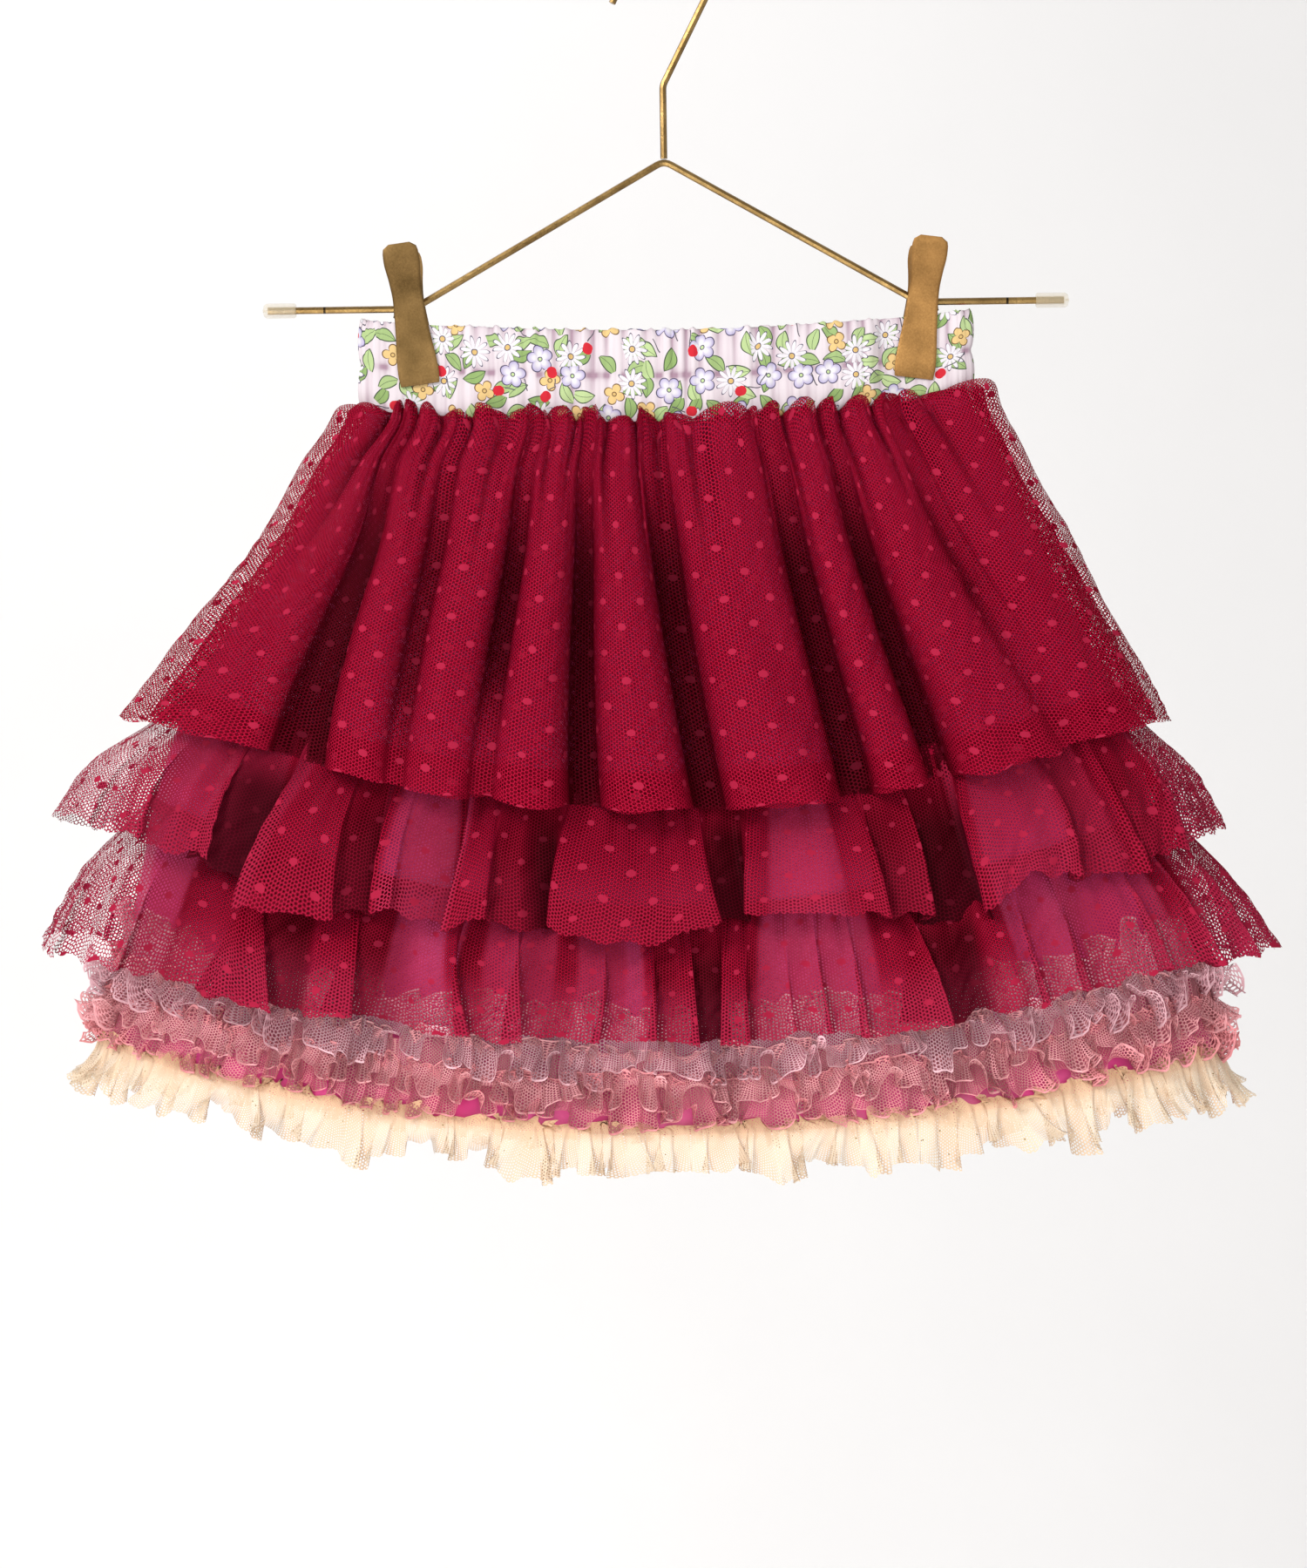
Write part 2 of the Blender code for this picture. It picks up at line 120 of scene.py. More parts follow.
# How far the sides hang above the front middle
LIFTS = table(
    Lift,
    (-130, 5.5, 5.5), (-168, 6, 10), (-288, 31.5, 27),
    (-332, 39, 31), (-366, 33.5, 28), (-407, 30, 20.5),
    (-425, 30, 17.5),
)

# Where the clips press the band: a share of its half width, and the level where the press ends
GRIP_PLACE = 0.815
GRIP_WIDTH = 0.135
GRIP_FOOT = -163.0
GRIP_DEPTH = 2.9

# The hanger's stubs, and each clip's plates and spring
STUB = -126.8
SPRING_RADIUS = 3.2
SPRING_LENGTH = 5.0
SPRING_PLACE = 94.0
CLIP_TOP = (91.0, -105.5)
CLIP_FOOT = (84.7, -153.3)
CLIP_PLATE = 1.0
CLIP_BOW = 0.15
CLIP_BEVEL = 0.4
# How far out a plate's face is where it presses the band and where it passes the spring
JAW = GRIP_DEPTH + GAP + CLIP_PLATE
PIVOT = SPRING_RADIUS + GAP + CLIP_PLATE
Plate = namedtuple("Plate", "down half away bow")
# A plate's half width, how far out its face is and how much it is bowed, by shares down
PLATE = table(
    Plate,
    (0, 3.6, 10.5, 0), (0.04, 6, 10.2, 1), (0.12, 6.2, 9.2, 1),
    (0.25, 5.5, 7, 1), (0.36, 5.15, PIVOT + 0.6, 1), (0.45, 5.3, PIVOT, 0.5),
    (0.6, 5.8, JAW + 0.4, 0.3), (0.92, 7, JAW + 0.4, 0), (1, 6.6, JAW + 0.4, 0),
)

Out = namedtuple("Out", "level left right front back")
# How far each wall lies out from the form
BASE_OUT = table(
    Out,
    (-168, -1.9, -1.9, -1.9, -1.9), (-190, 0, 0, 0, 0),
    (-407, 0, 0, 0, 0),
)
OVERSKIRT_OUT = table(
    Out,
    (-168, 0, 0, 0, 0), (-178, 8, 6, 6, 6),
    (-200, 9, 7, 11, 10), (-230, 10, 10, 16, 15),
    (-255, 12, 10, 18, 17), (-280, 14, 11, 19, 18),
    (-300, 19, 12, 20, 19),
)
UPPER_OUT = table(
    Out,
    (-288, 1.9, 1.9, 1.9, 1.9), (-300, 7.5, 4.6, 4.2, 4.4),
    (-320, 26, 15, 11, 11), (-340, 35, 19, 13, 13),
)
LOWER_OUT = table(
    Out,
    (-332, 1.9, 1.9, 1.9, 1.9), (-340, 8, 7, 4.5, 4.5),
    (-355, 21, 18, 9, 9), (-376, 29, 28, 13, 13),
)

Fold = namedtuple("Fold", "side top hem rise end", defaults=(1.3,))
# Ridges and valleys of the overskirt by turns, round from the left side. Top and hem are shares of the
# half width from the middle, and rise is below 0 in a valley. The fold sinks over the last 0.3 above its
# end, a share down, which is usually so far below the hem that it keeps its height.
FRONT, BACK = 1, -1
OVERSKIRT_FOLDS = table(
    partial(Fold, FRONT),
    (-0.88, -0.95, 3), (-0.83, -0.7, -13), (-0.74, -0.6, 5.5), (-0.66, -0.535, -6.5, 1),
    (-0.52, -0.46, 6.5), (-0.42, -0.37, -9, 0.9), (-0.33, -0.28, 6.5), (-0.255, -0.175, -15),
    (-0.17, -0.05, 6.5), (-0.07, 0.075, -14, 1.2), (0.14, 0.2, 7.5), (0.34, 0.4, -12),
    (0.41, 0.47, 4), (0.5, 0.56, -14), (0.62, 0.67, 6.5), (0.7, 0.84, -5, 0.8),
    (0.84, 0.945, 3),
) + table(
    partial(Fold, BACK),
    (0.82, 0.84, -9.5, 1.1), (0.62, 0.7, 6), (0.46, 0.54, -13), (0.3, 0.38, 6),
    (0.14, 0.22, -10, 1), (-0.04, 0.06, 6.5), (-0.2, -0.1, -14, 1.2), (-0.36, -0.3, 6.5),
    (-0.5, -0.48, -12), (-0.68, -0.62, 6), (-0.88, -0.8, -10),
)

Bend = namedtuple("Bend", "hem rise drop")
# The flounces' bends in order from the left side over the front. Hem is a share of the half width from the
# middle, and goes back where the cloth doubles over itself. Rise is how far the bend stands out at the hem,
# and drop how far the hem hangs below the flounce's own hem line there.
UPPER_BENDS = table(
    Bend,
    (-0.998, 0, -4), (-0.955, 2, -3), (-0.97, -1.5, -2), (-0.9, 1.5, -1), (-0.918, -2, 0),
    (-0.8, 2, -1), (-0.85, -3, 1), (-0.715, -8, 4), (-0.757, 6.5, 10), (-0.69, 6, 9.5),
    (-0.59, 5, 6.5), (-0.615, -2, 5), (-0.53, -4, 4), (-0.545, 3, 3), (-0.5, 2.5, 2),
    (-0.515, -1, 2), (-0.395, -1.5, 3), (-0.42, 5.5, 4.5), (-0.375, 5.5, 1), (-0.335, 4.5, 0),
    (-0.35, -2, 0), (-0.28, -1, 2), (-0.205, -8, 0), (-0.234, 6, -1.5), (-0.14, 7.5, 4.5),
    (-0.04, 6, 3), (0.092, 6, -2.5), (0.07, -3, -3), (0.15, -8, -3), (0.128, 5, -6),
    (0.25, 5.5, -3), (0.33, 4.5, -2), (0.412, 5.5, 1), (0.38, -3, 1), (0.5, 0, 2.5),
    (0.46, -6, 5), (0.61, -8, 9), (0.575, 5, 6), (0.66, 5, -3), (0.77, 3.5, 1),
    (0.745, -2.5, 2), (0.885, 3, 6), (0.862, -2, 4), (0.948, 2, 2), (0.93, -1, 2),
    (0.996, 0.5, 0),
)
LOWER_BENDS = table(
    Bend,
    (-0.997, 0, 0), (-0.972, 2, 1), (-0.984, -1.5, 0), (-0.925, 1.5, 1), (-0.898, 2.5, 2),
    (-0.918, -2, 1), (-0.85, -1, 0), (-0.745, 3, 2), (-0.665, 4.5, 3), (-0.81, -1, 2),
    (-0.64, -3.5, 1), (-0.622, 4, 2), (-0.54, 4, 0), (-0.61, -2, 0), (-0.5, -2.5, -1),
    (-0.435, 0.5, 1), (-0.345, 3, 2), (-0.385, -3, 1), (-0.258, 3.5, 2), (-0.305, -2, 0),
    (-0.2, 0, -1), (-0.128, 3.5, 1), (-0.152, -2.5, 0), (-0.03, 4, -1), (-0.055, -3, -1),
    (0.045, 2.5, 1), (0.02, -4, 0), (0.105, -4.5, 0), (0.072, 4.5, 2), (0.135, 4.5, 1),
    (0.118, -2, 0), (0.222, 1.5, -1), (0.208, -1.5, -1), (0.285, 2, 0), (0.268, -2, 0),
    (0.35, 2.5, 1), (0.325, -2.5, 1), (0.432, 4.5, 3), (0.495, 4, 1), (0.395, -3.5, 0),
    (0.56, -4.5, 0), (0.59, 4, 1), (0.668, 2.5, 0), (0.65, -2, 0), (0.738, 1.5, -1),
    (0.715, -3, 0), (0.865, 3, -2), (0.84, -2, -1), (0.932, 2.5, 0), (0.9, -2.5, 0),
    (0.972, 2, 1), (0.945, -1.5, 1), (0.997, 0, 0),
)

Sheer = namedtuple("Sheer", "start end plies")
# Stretches of the flounces, as shares of the half width from the middle, where fewer folds lie behind the
# net: 0 for none and 1 for as many as elsewhere
UPPER_SHEER = table(
    Sheer,
    (-1.1, -0.94, 0.0), (-0.94, -0.86, 0.5), (-0.86, -0.73, 0.7), (-0.53, -0.41, 0.2),
    (0.18, 0.33, 0.45), (0.6, 0.75, 0.6), (0.75, 0.85, 0.8), (0.94, 1.1, 0.38),
)
LOWER_SHEER = table(
    Sheer,
    (-1.1, -0.945, 0.0), (-0.945, -0.86, 0.1), (-0.52, -0.376, 0.05), (-0.327, -0.23, 0.5),
    (-0.186, -0.1, 0.45), (-0.1, -0.06, 0.05), (0.148, 0.371, 0.22), (0.63, 0.885, 0.16),
    (0.925, 0.955, 0.4), (0.955, 1.1, 0.42),
)

Layer = namedtuple("Layer", "name node inward height seed rows")
# The overskirt's layers: how far inward each lies, how high its folds are and how many rows it has
LAYERS = (
    Layer("overskirt_net", "overskirt", 0.0, 1.0, 5, 64),
    Layer("overskirt_net_under", None, 4.0, 0.85, 55, 40),
)
Flounce = namedtuple("Flounce", "node out seam hem thins seed bends sheer")
# Thins is the share of the folds' thickness that is gone at the hem. Bends and sheer are for the front and
# the back, which has those of the other flounce's front.
FLOUNCES = (
    Flounce(
        "flounce_upper", UPPER_OUT, UPPER_SEAM, UPPER_HEM, thins=0.15, seed=31,
        bends=(UPPER_BENDS, LOWER_BENDS), sheer=(UPPER_SHEER, LOWER_SHEER),
    ),
    Flounce(
        "flounce_lower", LOWER_OUT, LOWER_SEAM, LOWER_HEM, thins=0.5, seed=41,
        bends=(LOWER_BENDS, UPPER_BENDS), sheer=(LOWER_SHEER, UPPER_SHEER),
    ),
)


def curve_through(at, places, values):
    """Smooth values between a table's rows, which never swing past them."""
    places = np.asarray(places, float)
    values = np.asarray(values, float)
    step = np.diff(values) / np.diff(places)
    slope = np.zeros_like(values)
    slope[0], slope[-1] = step[0], step[-1]
    same = step[1:] * step[:-1] > 0
    total = np.where(same, step[1:] + step[:-1], 1.0)
    slope[1:-1] = np.where(same, 2 * step[1:] * step[:-1] / total, 0.0)
    at = np.clip(at, places[0], places[-1])
    k = np.clip(np.searchsorted(places, at, side="right") - 1, 0, len(places) - 2)
    h = places[k + 1] - places[k]
    t = (at - places[k]) / h
    start = (1 + 2 * t) * (1 - t) ** 2 * values[k] + t * (1 - t) ** 2 * h * slope[k]
    return start + t * t * (3 - 2 * t) * values[k + 1] + t * t * (t - 1) * h * slope[k + 1]


def column(rows, name, level):
    upward = rows[::-1]
    return curve_through(level, [row.level for row in upward], [getattr(row, name) for row in upward])


def side_at(rows, level, turn):
    return np.where(np.cos(turn) > 0, column(rows, "left", level), column(rows, "right", level))


def deep_at(rows, level, turn):
    return np.where(np.sin(turn) > 0, column(rows, "front", level), column(rows, "back", level))


def out_at(rows, level, turn):
    """How far a wall lies out from the form, between its values at the sides, the front and the back."""
    side, deep = side_at(rows, level, turn), deep_at(rows, level, turn)
    share = np.cos(turn) ** 2
    return side * share + deep * (1 - share)


def grip(level, turn):
    """How much the clips press the band at each place, from 0 to 1."""
    from_clip = (np.abs(np.cos(turn)) - GRIP_PLACE) / GRIP_WIDTH
    on_band = 1 / (1 + np.exp((GRIP_FOOT - level) / 1.5))
    return np.exp(-(from_clip**6)) * on_band


def plan(level, turn):
    """The form seen from above."""
    pressed = grip(level, turn)
    deep = deep_at(FORM, level, turn) * np.abs(np.sin(turn)) ** BLUNT * (1 - pressed) + GRIP_DEPTH * pressed
    return -np.cos(turn) * side_at(FORM, level, turn), -np.sign(np.sin(turn)) * deep


def place(level, turn, out, along=0.0):
    """Points out from the form, and shifted along it, as an array of X, Y and Z."""
    level, turn, out, along = np.broadcast_arrays(level, turn, out, along)
    step = 0.01
    x0, y0 = plan(level, turn - step)
    x1, y1 = plan(level, turn + step)
    x, y = plan(level, turn)
    on = np.stack([x1 - x0, y1 - y0], axis=-1)
    on = on / np.linalg.norm(on, axis=-1, keepdims=True)
    z = level + side_at(LIFTS, level, turn) * np.cos(turn) ** 2
    x = x + on[..., 1] * out + on[..., 0] * along
    y = y - on[..., 0] * out + on[..., 1] * along
    return np.stack([x, y, z], axis=-1)


def sums(steps):
    """Running sums, from 0."""
    return np.concatenate([[0], np.cumsum(steps)])


def shares(rows):
    """Even shares from 0 to 1, as a column."""
    return np.linspace(0, 1, rows)[:, None]


def ease(low, high, value):
    """0 below low, 1 above high, and smooth between."""
    t = np.clip((value - low) / (high - low), 0, 1)
    return t * t * (3 - 2 * t)


def wander(turn, seed, slowest, fastest):
    """A smooth random wave round the form, mostly between -1 and 1."""
    count = 9
    draw = np.random.default_rng(seed)
    total = 0.0
    for _ in range(count):
        total = total + np.sin(draw.integers(slowest, fastest + 1) * turn + draw.uniform(0, 2 * pi))
    return total / np.sqrt(count)


def even_turns(level, count, start=0.0):
    """Turns at even distances round the form."""
    turn = np.linspace(0, 2 * pi, 4000) + start
    x, y = plan(np.full_like(turn, level), turn)
    along = sums(np.hypot(np.diff(x), np.diff(y)))
    return np.interp(np.arange(count) / count * along[-1], along, turn)


def put(name, data):
    """A new object in the scene."""
    made = bpy.data.objects.new(name, data)
    bpy.context.scene.collection.objects.link(made)
    return made


def add_grid(name, points, flat, finish, closed=True, **shades):
    """A sheet through rows of points. Flat is the same grid on the uncut cloth, with the last column again.

    Shades are values for the material to read: depth is 0 where a fold's valley lies deep and 1 where the
    cloth stands out, and the materials paint shade by it, darker where it is low. Plies is 0 where one layer
    of net hangs free and 1 where folds lie behind it.
    """
    rows, columns = points.shape[:2]
    around = columns if closed else columns - 1
    r, c = np.meshgrid(np.arange(rows - 1), np.arange(around), indexing="ij")
    after = (c + 1) % columns
    corners = [r * columns + c, (r + 1) * columns + c, (r + 1) * columns + after, r * columns + after]
    quads = np.stack(corners, axis=-1).reshape(-1, 4)
    mesh = bpy.data.meshes.new(name)
    mesh.from_pydata((points.reshape(-1, 3) * MM).tolist(), [], quads.tolist())
    layer = mesh.uv_layers.new(name="flat")
    on_cloth = np.stack([flat[r, c], flat[r + 1, c], flat[r + 1, c + 1], flat[r, c + 1]], axis=2)
    layer.data.foreach_set("uv", (on_cloth.reshape(-1) * MM).astype(np.float32))
    for shade, values in shades.items():
        layer = mesh.attributes.new(shade, "FLOAT", "POINT")
        values = np.broadcast_to(values, (rows, columns)).reshape(-1)
        layer.data.foreach_set("value", values.astype(np.float32))
    mesh.shade_smooth()
    mesh.materials.append(finish)
    return put(name, mesh)


def flat_grid(points, fair=0.6, closed=True):
    """Where each point lies on the flat cloth, from the lengths along one row and down the columns."""
    rows = points.shape[0]
    wide = points[int(fair * (rows - 1))]
    if closed:
        wide = np.concatenate([wide, wide[:1]])
    u = sums(np.linalg.norm(np.diff(wide, axis=0), axis=1))
    v = -sums(np.linalg.norm(np.diff(points, axis=0), axis=2).mean(axis=1))
    return np.stack(np.meshgrid(u, v), axis=-1)


def cut_of(flat):
    """The flat width and length of a sheet, in metres."""
    return float(flat[0, -1, 0] * MM), float(-flat[-1, 0, 1] * MM)


# Folds


def smooth_round(values, width):
    """Rounds the corners of a run of values whose ends meet."""
    window = np.hanning(width + 2)[1:-1]
    window = window / window.sum()
    return sum(weight * np.roll(values, k - width // 2, axis=-1) for k, weight in enumerate(window))


def smooth_turns(turns, width):
    """Rounds the corners of turns that run once round."""
    even = np.linspace(0, 2 * pi, turns.shape[-1], endpoint=False)
    return even + smooth_round(turns - even, width)


def fold_turns(fold, share):
    """The turns that a fold's crest or valley runs down along."""
    turn = np.arccos(-fold.top - (fold.hem - fold.top) * share)
    return turn if fold.side == FRONT else 2 * pi - turn


def fold_rise(fold, share):
    return fold.rise * (1 - 0.75 * ease(fold.end - 0.3, fold.end, share))


# Half a tube from its crown to the middle of the valley beside it, in shares of the way and of the height
TUBE = (
    (0, 1), (0.22, 0.97), (0.45, 0.86), (0.62, 0.66),
    (0.735, 0.38), (0.73, 0.12), (0.82, 0), (1, 0.02),
)


def tube_half(count):
    """Places at even lengths down half a tube."""
    across, up = np.array(TUBE).T
    length = sums(np.hypot(np.diff(across), 0.8 * np.diff(up)))
    at = np.linspace(0, length[-1], count, endpoint=False)
    return np.interp(at, length, across), np.interp(at, length, up)


def tubes(folds, share, pitch):
    """Columns that run over round ridges and narrow valleys in turn: their turns, rises and the painted
    shade of their valleys.
    """
    turns, rises, valley_shades = [], [], []
    for fold, after in zip(folds, folds[1:] + folds[:1]):
        here, there = fold_turns(fold, share), fold_turns(after, share)
        there = np.where(there < here, there + 2 * pi, there)
        x0, y0 = plan(OVERSKIRT_HEM, here[-1, 0])
        x1, y1 = plan(OVERSKIRT_HEM, there[-1, 0])
        length = np.hypot(x1 - x0, y1 - y0) + abs(fold.rise - after.rise)
        across, up = tube_half(max(12, int(length / pitch)))
        ridge_first = fold.rise > after.rise
        if not ridge_first:
            across, up = 1 - np.append(across[1:], 1.0)[::-1], np.append(up[1:], 0.02)[::-1]
        high, low = (fold, after) if ridge_first else (after, fold)
        high_rise, low_rise = fold_rise(high, share), fold_rise(low, share)
        turns.append(here + (there - here) * across[None, :])
        rises.append(low_rise + (high_rise - low_rise) * up[None, :])
        # Painted shade: dark low in each valley, the more so the deeper the fold
        valley_shades.append((1 - ease(0.0, 0.75, up[None, :])) * ease(5.0, 17.0, high_rise - low_rise))
    return smooth_turns(np.hstack(turns), 5), smooth_round(np.hstack(rises), 3), np.hstack(valley_shades)


def pleats(columns, count, seed, blunt=0.7):
    """A run of pinched pleats of uneven width: their height, how far down they reach, and their lean."""
    draw = np.random.default_rng(seed)
    widths = draw.uniform(0.6, 1.4, count)
    edges = sums(widths) / widths.sum() * columns
    at = np.arange(columns)
    which = np.clip(np.searchsorted(edges, at, side="right") - 1, 0, count - 1)
    t = (at - edges[which]) / (edges[which + 1] - edges[which])
    tall = draw.uniform(0.6, 1.0, count)[which]
    reach = smooth_round(draw.uniform(0.25, 0.7, count)[which], 15)
    return np.abs(np.sin(pi * t)) ** blunt * tall, reach, np.sin(2 * pi * t)


def overskirt_grid(layer):
    """The overskirt's folds and the pleats under its seam, for one of its layers, and its depth, which is
    low where shade is painted: in the folds' valleys and the pleats' pinches.
    """
    seed = layer.seed
    share = shares(layer.rows) ** 1.35
    turn, rise, dark = tubes(OVERSKIRT_FOLDS, share, pitch=1.1)
    grow = 0.08 + 0.92 * ease(0.0, 0.45, share)
    level = BAND_SEAM + (OVERSKIRT_HEM - BAND_SEAM) * share
    by_left = 1 + 1.6 * ease(0.75, 1.0, np.cos(turn)) * share
    out = out_at(OVERSKIRT_OUT, level, turn) - layer.inward * ease(0.0, 0.1, share) * by_left
    columns = turn.shape[1]
    crest, reach, _ = pleats(columns, 40, seed, blunt=0.45)
    fade = 1 - ease(0.15, 1.0, share / reach)
    pleat = 5.5 * (crest - 0.55) * ease(0.0, 0.05, share) * fade
    small, small_reach, _ = pleats(columns, 120, seed + 1)
    small_fade = 1 - ease(0.1, 1.0, share / small_reach)
    pleat = pleat + 1.0 * (small - 0.5) * ease(0.0, 0.03, share) * small_fade
    crease = 0.4 * wander(turn + 0.5 * share, seed + 2, 60, 140) * ease(0.15, 0.5, share)
    crease = crease + 0.8 * wander(turn - 0.3 * share, seed + 3, 18, 50) * ease(0.2, 0.7, share)
    out = out + layer.height * rise * grow + pleat + crease
    puff = np.sin(pi * np.clip(share / 0.10, 0, 1))
    out = out + 2.5 * crest * puff
    level = level + (12.5 * crest - 1.0) * puff - 0.12 * np.maximum(rise, -4) * share**3
    level = level + 0.8 * share**2 * wander(turn, seed + 4, 8, 40)
    out = np.maximum(out, (1.8 - 0.25 * layer.inward) * ease(0.0, 0.15, share))
    past = (-np.cos(turn) - LIP_START) / LIP_LENGTH
    lip = (level - LIP_LEVEL + LIP_DROP * ease(0.0, 1.0, past)) / 2.4
    on_lip = ease(-0.1, 0.25, past) * ease(1.15, 0.8, past) * (np.sin(turn) > 0)
    on_lip = on_lip * ease(8.0, 2.0, layer.inward)
    out = out + 2.6 * np.exp(-(lip**2)) * on_lip - 1.6 * np.exp(-((lip + 2.2) ** 2)) * on_lip
    # Painted shade in the pinches between the pleats under the seam, and in the folds' valleys
    pinch_shade = ease(0.55, 0.1, crest) * fade * (1 - 0.5 * share)
    return place(level, turn, out), 1 - np.maximum(dark * grow, 0.9 * pinch_shade)


def bends_round(front, back):
    """Two runs of bends as one, round from the left side over the front: their turns, rises and drops."""
    hems, rises, drops = np.array(front + back[::-1]).T
    turns = np.arccos(-hems)
    turns[len(front) :] = 2 * pi - turns[len(front) :]
    return turns, rises, drops


def plies_at(turn, front, back):
    """How much folded net lies behind each turn, from the tables of the sheer stretches."""
    across = -np.cos(turn)
    dense = []
    for stretches in (front, back):
        total = np.ones_like(across)
        for sheer in stretches:
            inside = ease(sheer.start - 0.008, sheer.start + 0.008, across)
            inside = inside * ease(sheer.end + 0.008, sheer.end - 0.008, across)
            total = total - (1 - sheer.plies) * inside
        dense.append(total)
    return np.clip(np.where(np.sin(turn) > 0, *dense), 0, 1)


def flounce_grid(part):
    """A gathered flounce: even gathers at its seam run together into doubled panels at its hem."""
    rows, pitch, corner, seed = 34, 1.15, 5, part.seed
    turns, rises, drops = bends_round(*part.bends)
    x, y = plan(np.full_like(turns, part.hem), turns)
    far = np.hypot(np.roll(x, -1) - x, np.roll(y, -1) - y)
    lengths = np.hypot(far, np.roll(rises, -1) - rises)
    counts = np.maximum(3, (lengths / pitch).astype(int))
    spots = np.concatenate([k + np.arange(count) / count for k, count in enumerate(counts)])
    around = np.arange(len(turns) + 1)
    at_hem = np.interp(spots, around, np.append(turns, turns[0] + 2 * pi))
    rise = smooth_round(np.interp(spots, around, np.append(rises, rises[0])), corner)
    drop = smooth_round(np.interp(spots, around, np.append(drops, drops[0])), 9)
    at_hem = smooth_turns(at_hem, corner)
    at_seam = smooth_turns(at_hem, 151)
    share = shares(rows)
    turn = at_seam + (at_hem - at_seam) * (0.35 * share + 0.65 * share**0.7)
    turn = turn + 0.012 * wander(turn, seed + 7, 6, 22) * np.sin(pi * share)
    crest, reach, lean = pleats(len(at_hem), 120, seed)
    long, _, _ = pleats(len(at_hem), 70, seed + 5)
    pleat = 2.0 * (crest - 0.5) * ease(0.0, 0.1, share) * (1 - ease(0.2, 1.1, share / (reach * 1.6)))
    pleat = pleat + 1.3 * (long - 0.5) * ease(0.0, 0.2, share) * (1 - 0.6 * share)
    crease = 0.45 * wander(turn + 0.3 * share, seed + 1, 70, 150) * ease(0.1, 0.6, share)
    crease = crease + 1.1 * wander(turn, seed + 2, 20, 60) * ease(0.1, 0.8, share)
    grow = ease(0.12, 0.9, share)
    ragged = 0.9 * wander(at_hem, seed + 3, 30, 90) + 0.25 * np.sin(2.4 * np.arange(len(at_hem)))
    level = part.seam + (part.hem - drop - part.seam) * share + ragged * share**2
    out = out_at(part.out, level, turn) + rise * grow + pleat + crease
    # Painted shade: depth is low in the folds' valleys, in the pinches between the pleats and in the gathers
    # by the seam. The net's holes fill there too.
    folded = (1 - ease(-6.0, 2.0, rise)) * ease(0.1, 0.5, share)
    pinched = 0.45 * (1 - ease(0.2, 0.6, crest)) * (1 - ease(0.1, 1.0, share / reach))
    gathered = 0.45 * (1 - ease(0.03, 0.14, share))
    depth = 1 - np.maximum(folded, np.maximum(pinched, gathered))
    plies = plies_at(at_hem, *part.sheer) * (1 - part.thins * ease(0.5, 0.85, share))
    return place(level, turn, out, 0.5 * lean * (1 - share)), depth, plies


Ruffle = namedtuple("Ruffle", "name top stitch foot curl tuck waves swing ragged seed slot")
# Narrow strips gathered along a stitch line on the base skirt: the levels of their two edges and stitches,
# how many degrees their loops curl out below and above it, how many waves go round, how far these swing
# sideways, and how uneven their lengths are
RUFFLES = (
    Ruffle("ruffle_row_1", -364.0, -375.0, -389.5, 155, 72, 88, 1.5, 0.20, 21, "lilac_pink_net"),
    Ruffle("ruffle_row_2", -377.0, -385.0, -399.0, 150, 95, 94, 1.5, 0.16, 22, "rose_net"),
    Ruffle("ruffle_row_3", -387.0, -393.5, -404.5, 140, 80, 100, 1.4, 0.20, 23, "dusty_rose_net"),
)
HEM_RUFFLE = Ruffle("hem_ruffle", -403.0, -405.5, -420.5, 78, 50, 86, 2.2, 0.16, 24, "cream_cotton")

Dip = namedtuple("Dip", "place width")
# Where the skirt falls back in a deep fold, as shares of the half width, and the ruffles lie flat, with
# painted shade on them
DIPS = (Dip(-0.55, 0.03), Dip(-0.215, 0.04), Dip(0.09, 0.04), Dip(0.50, 0.055))


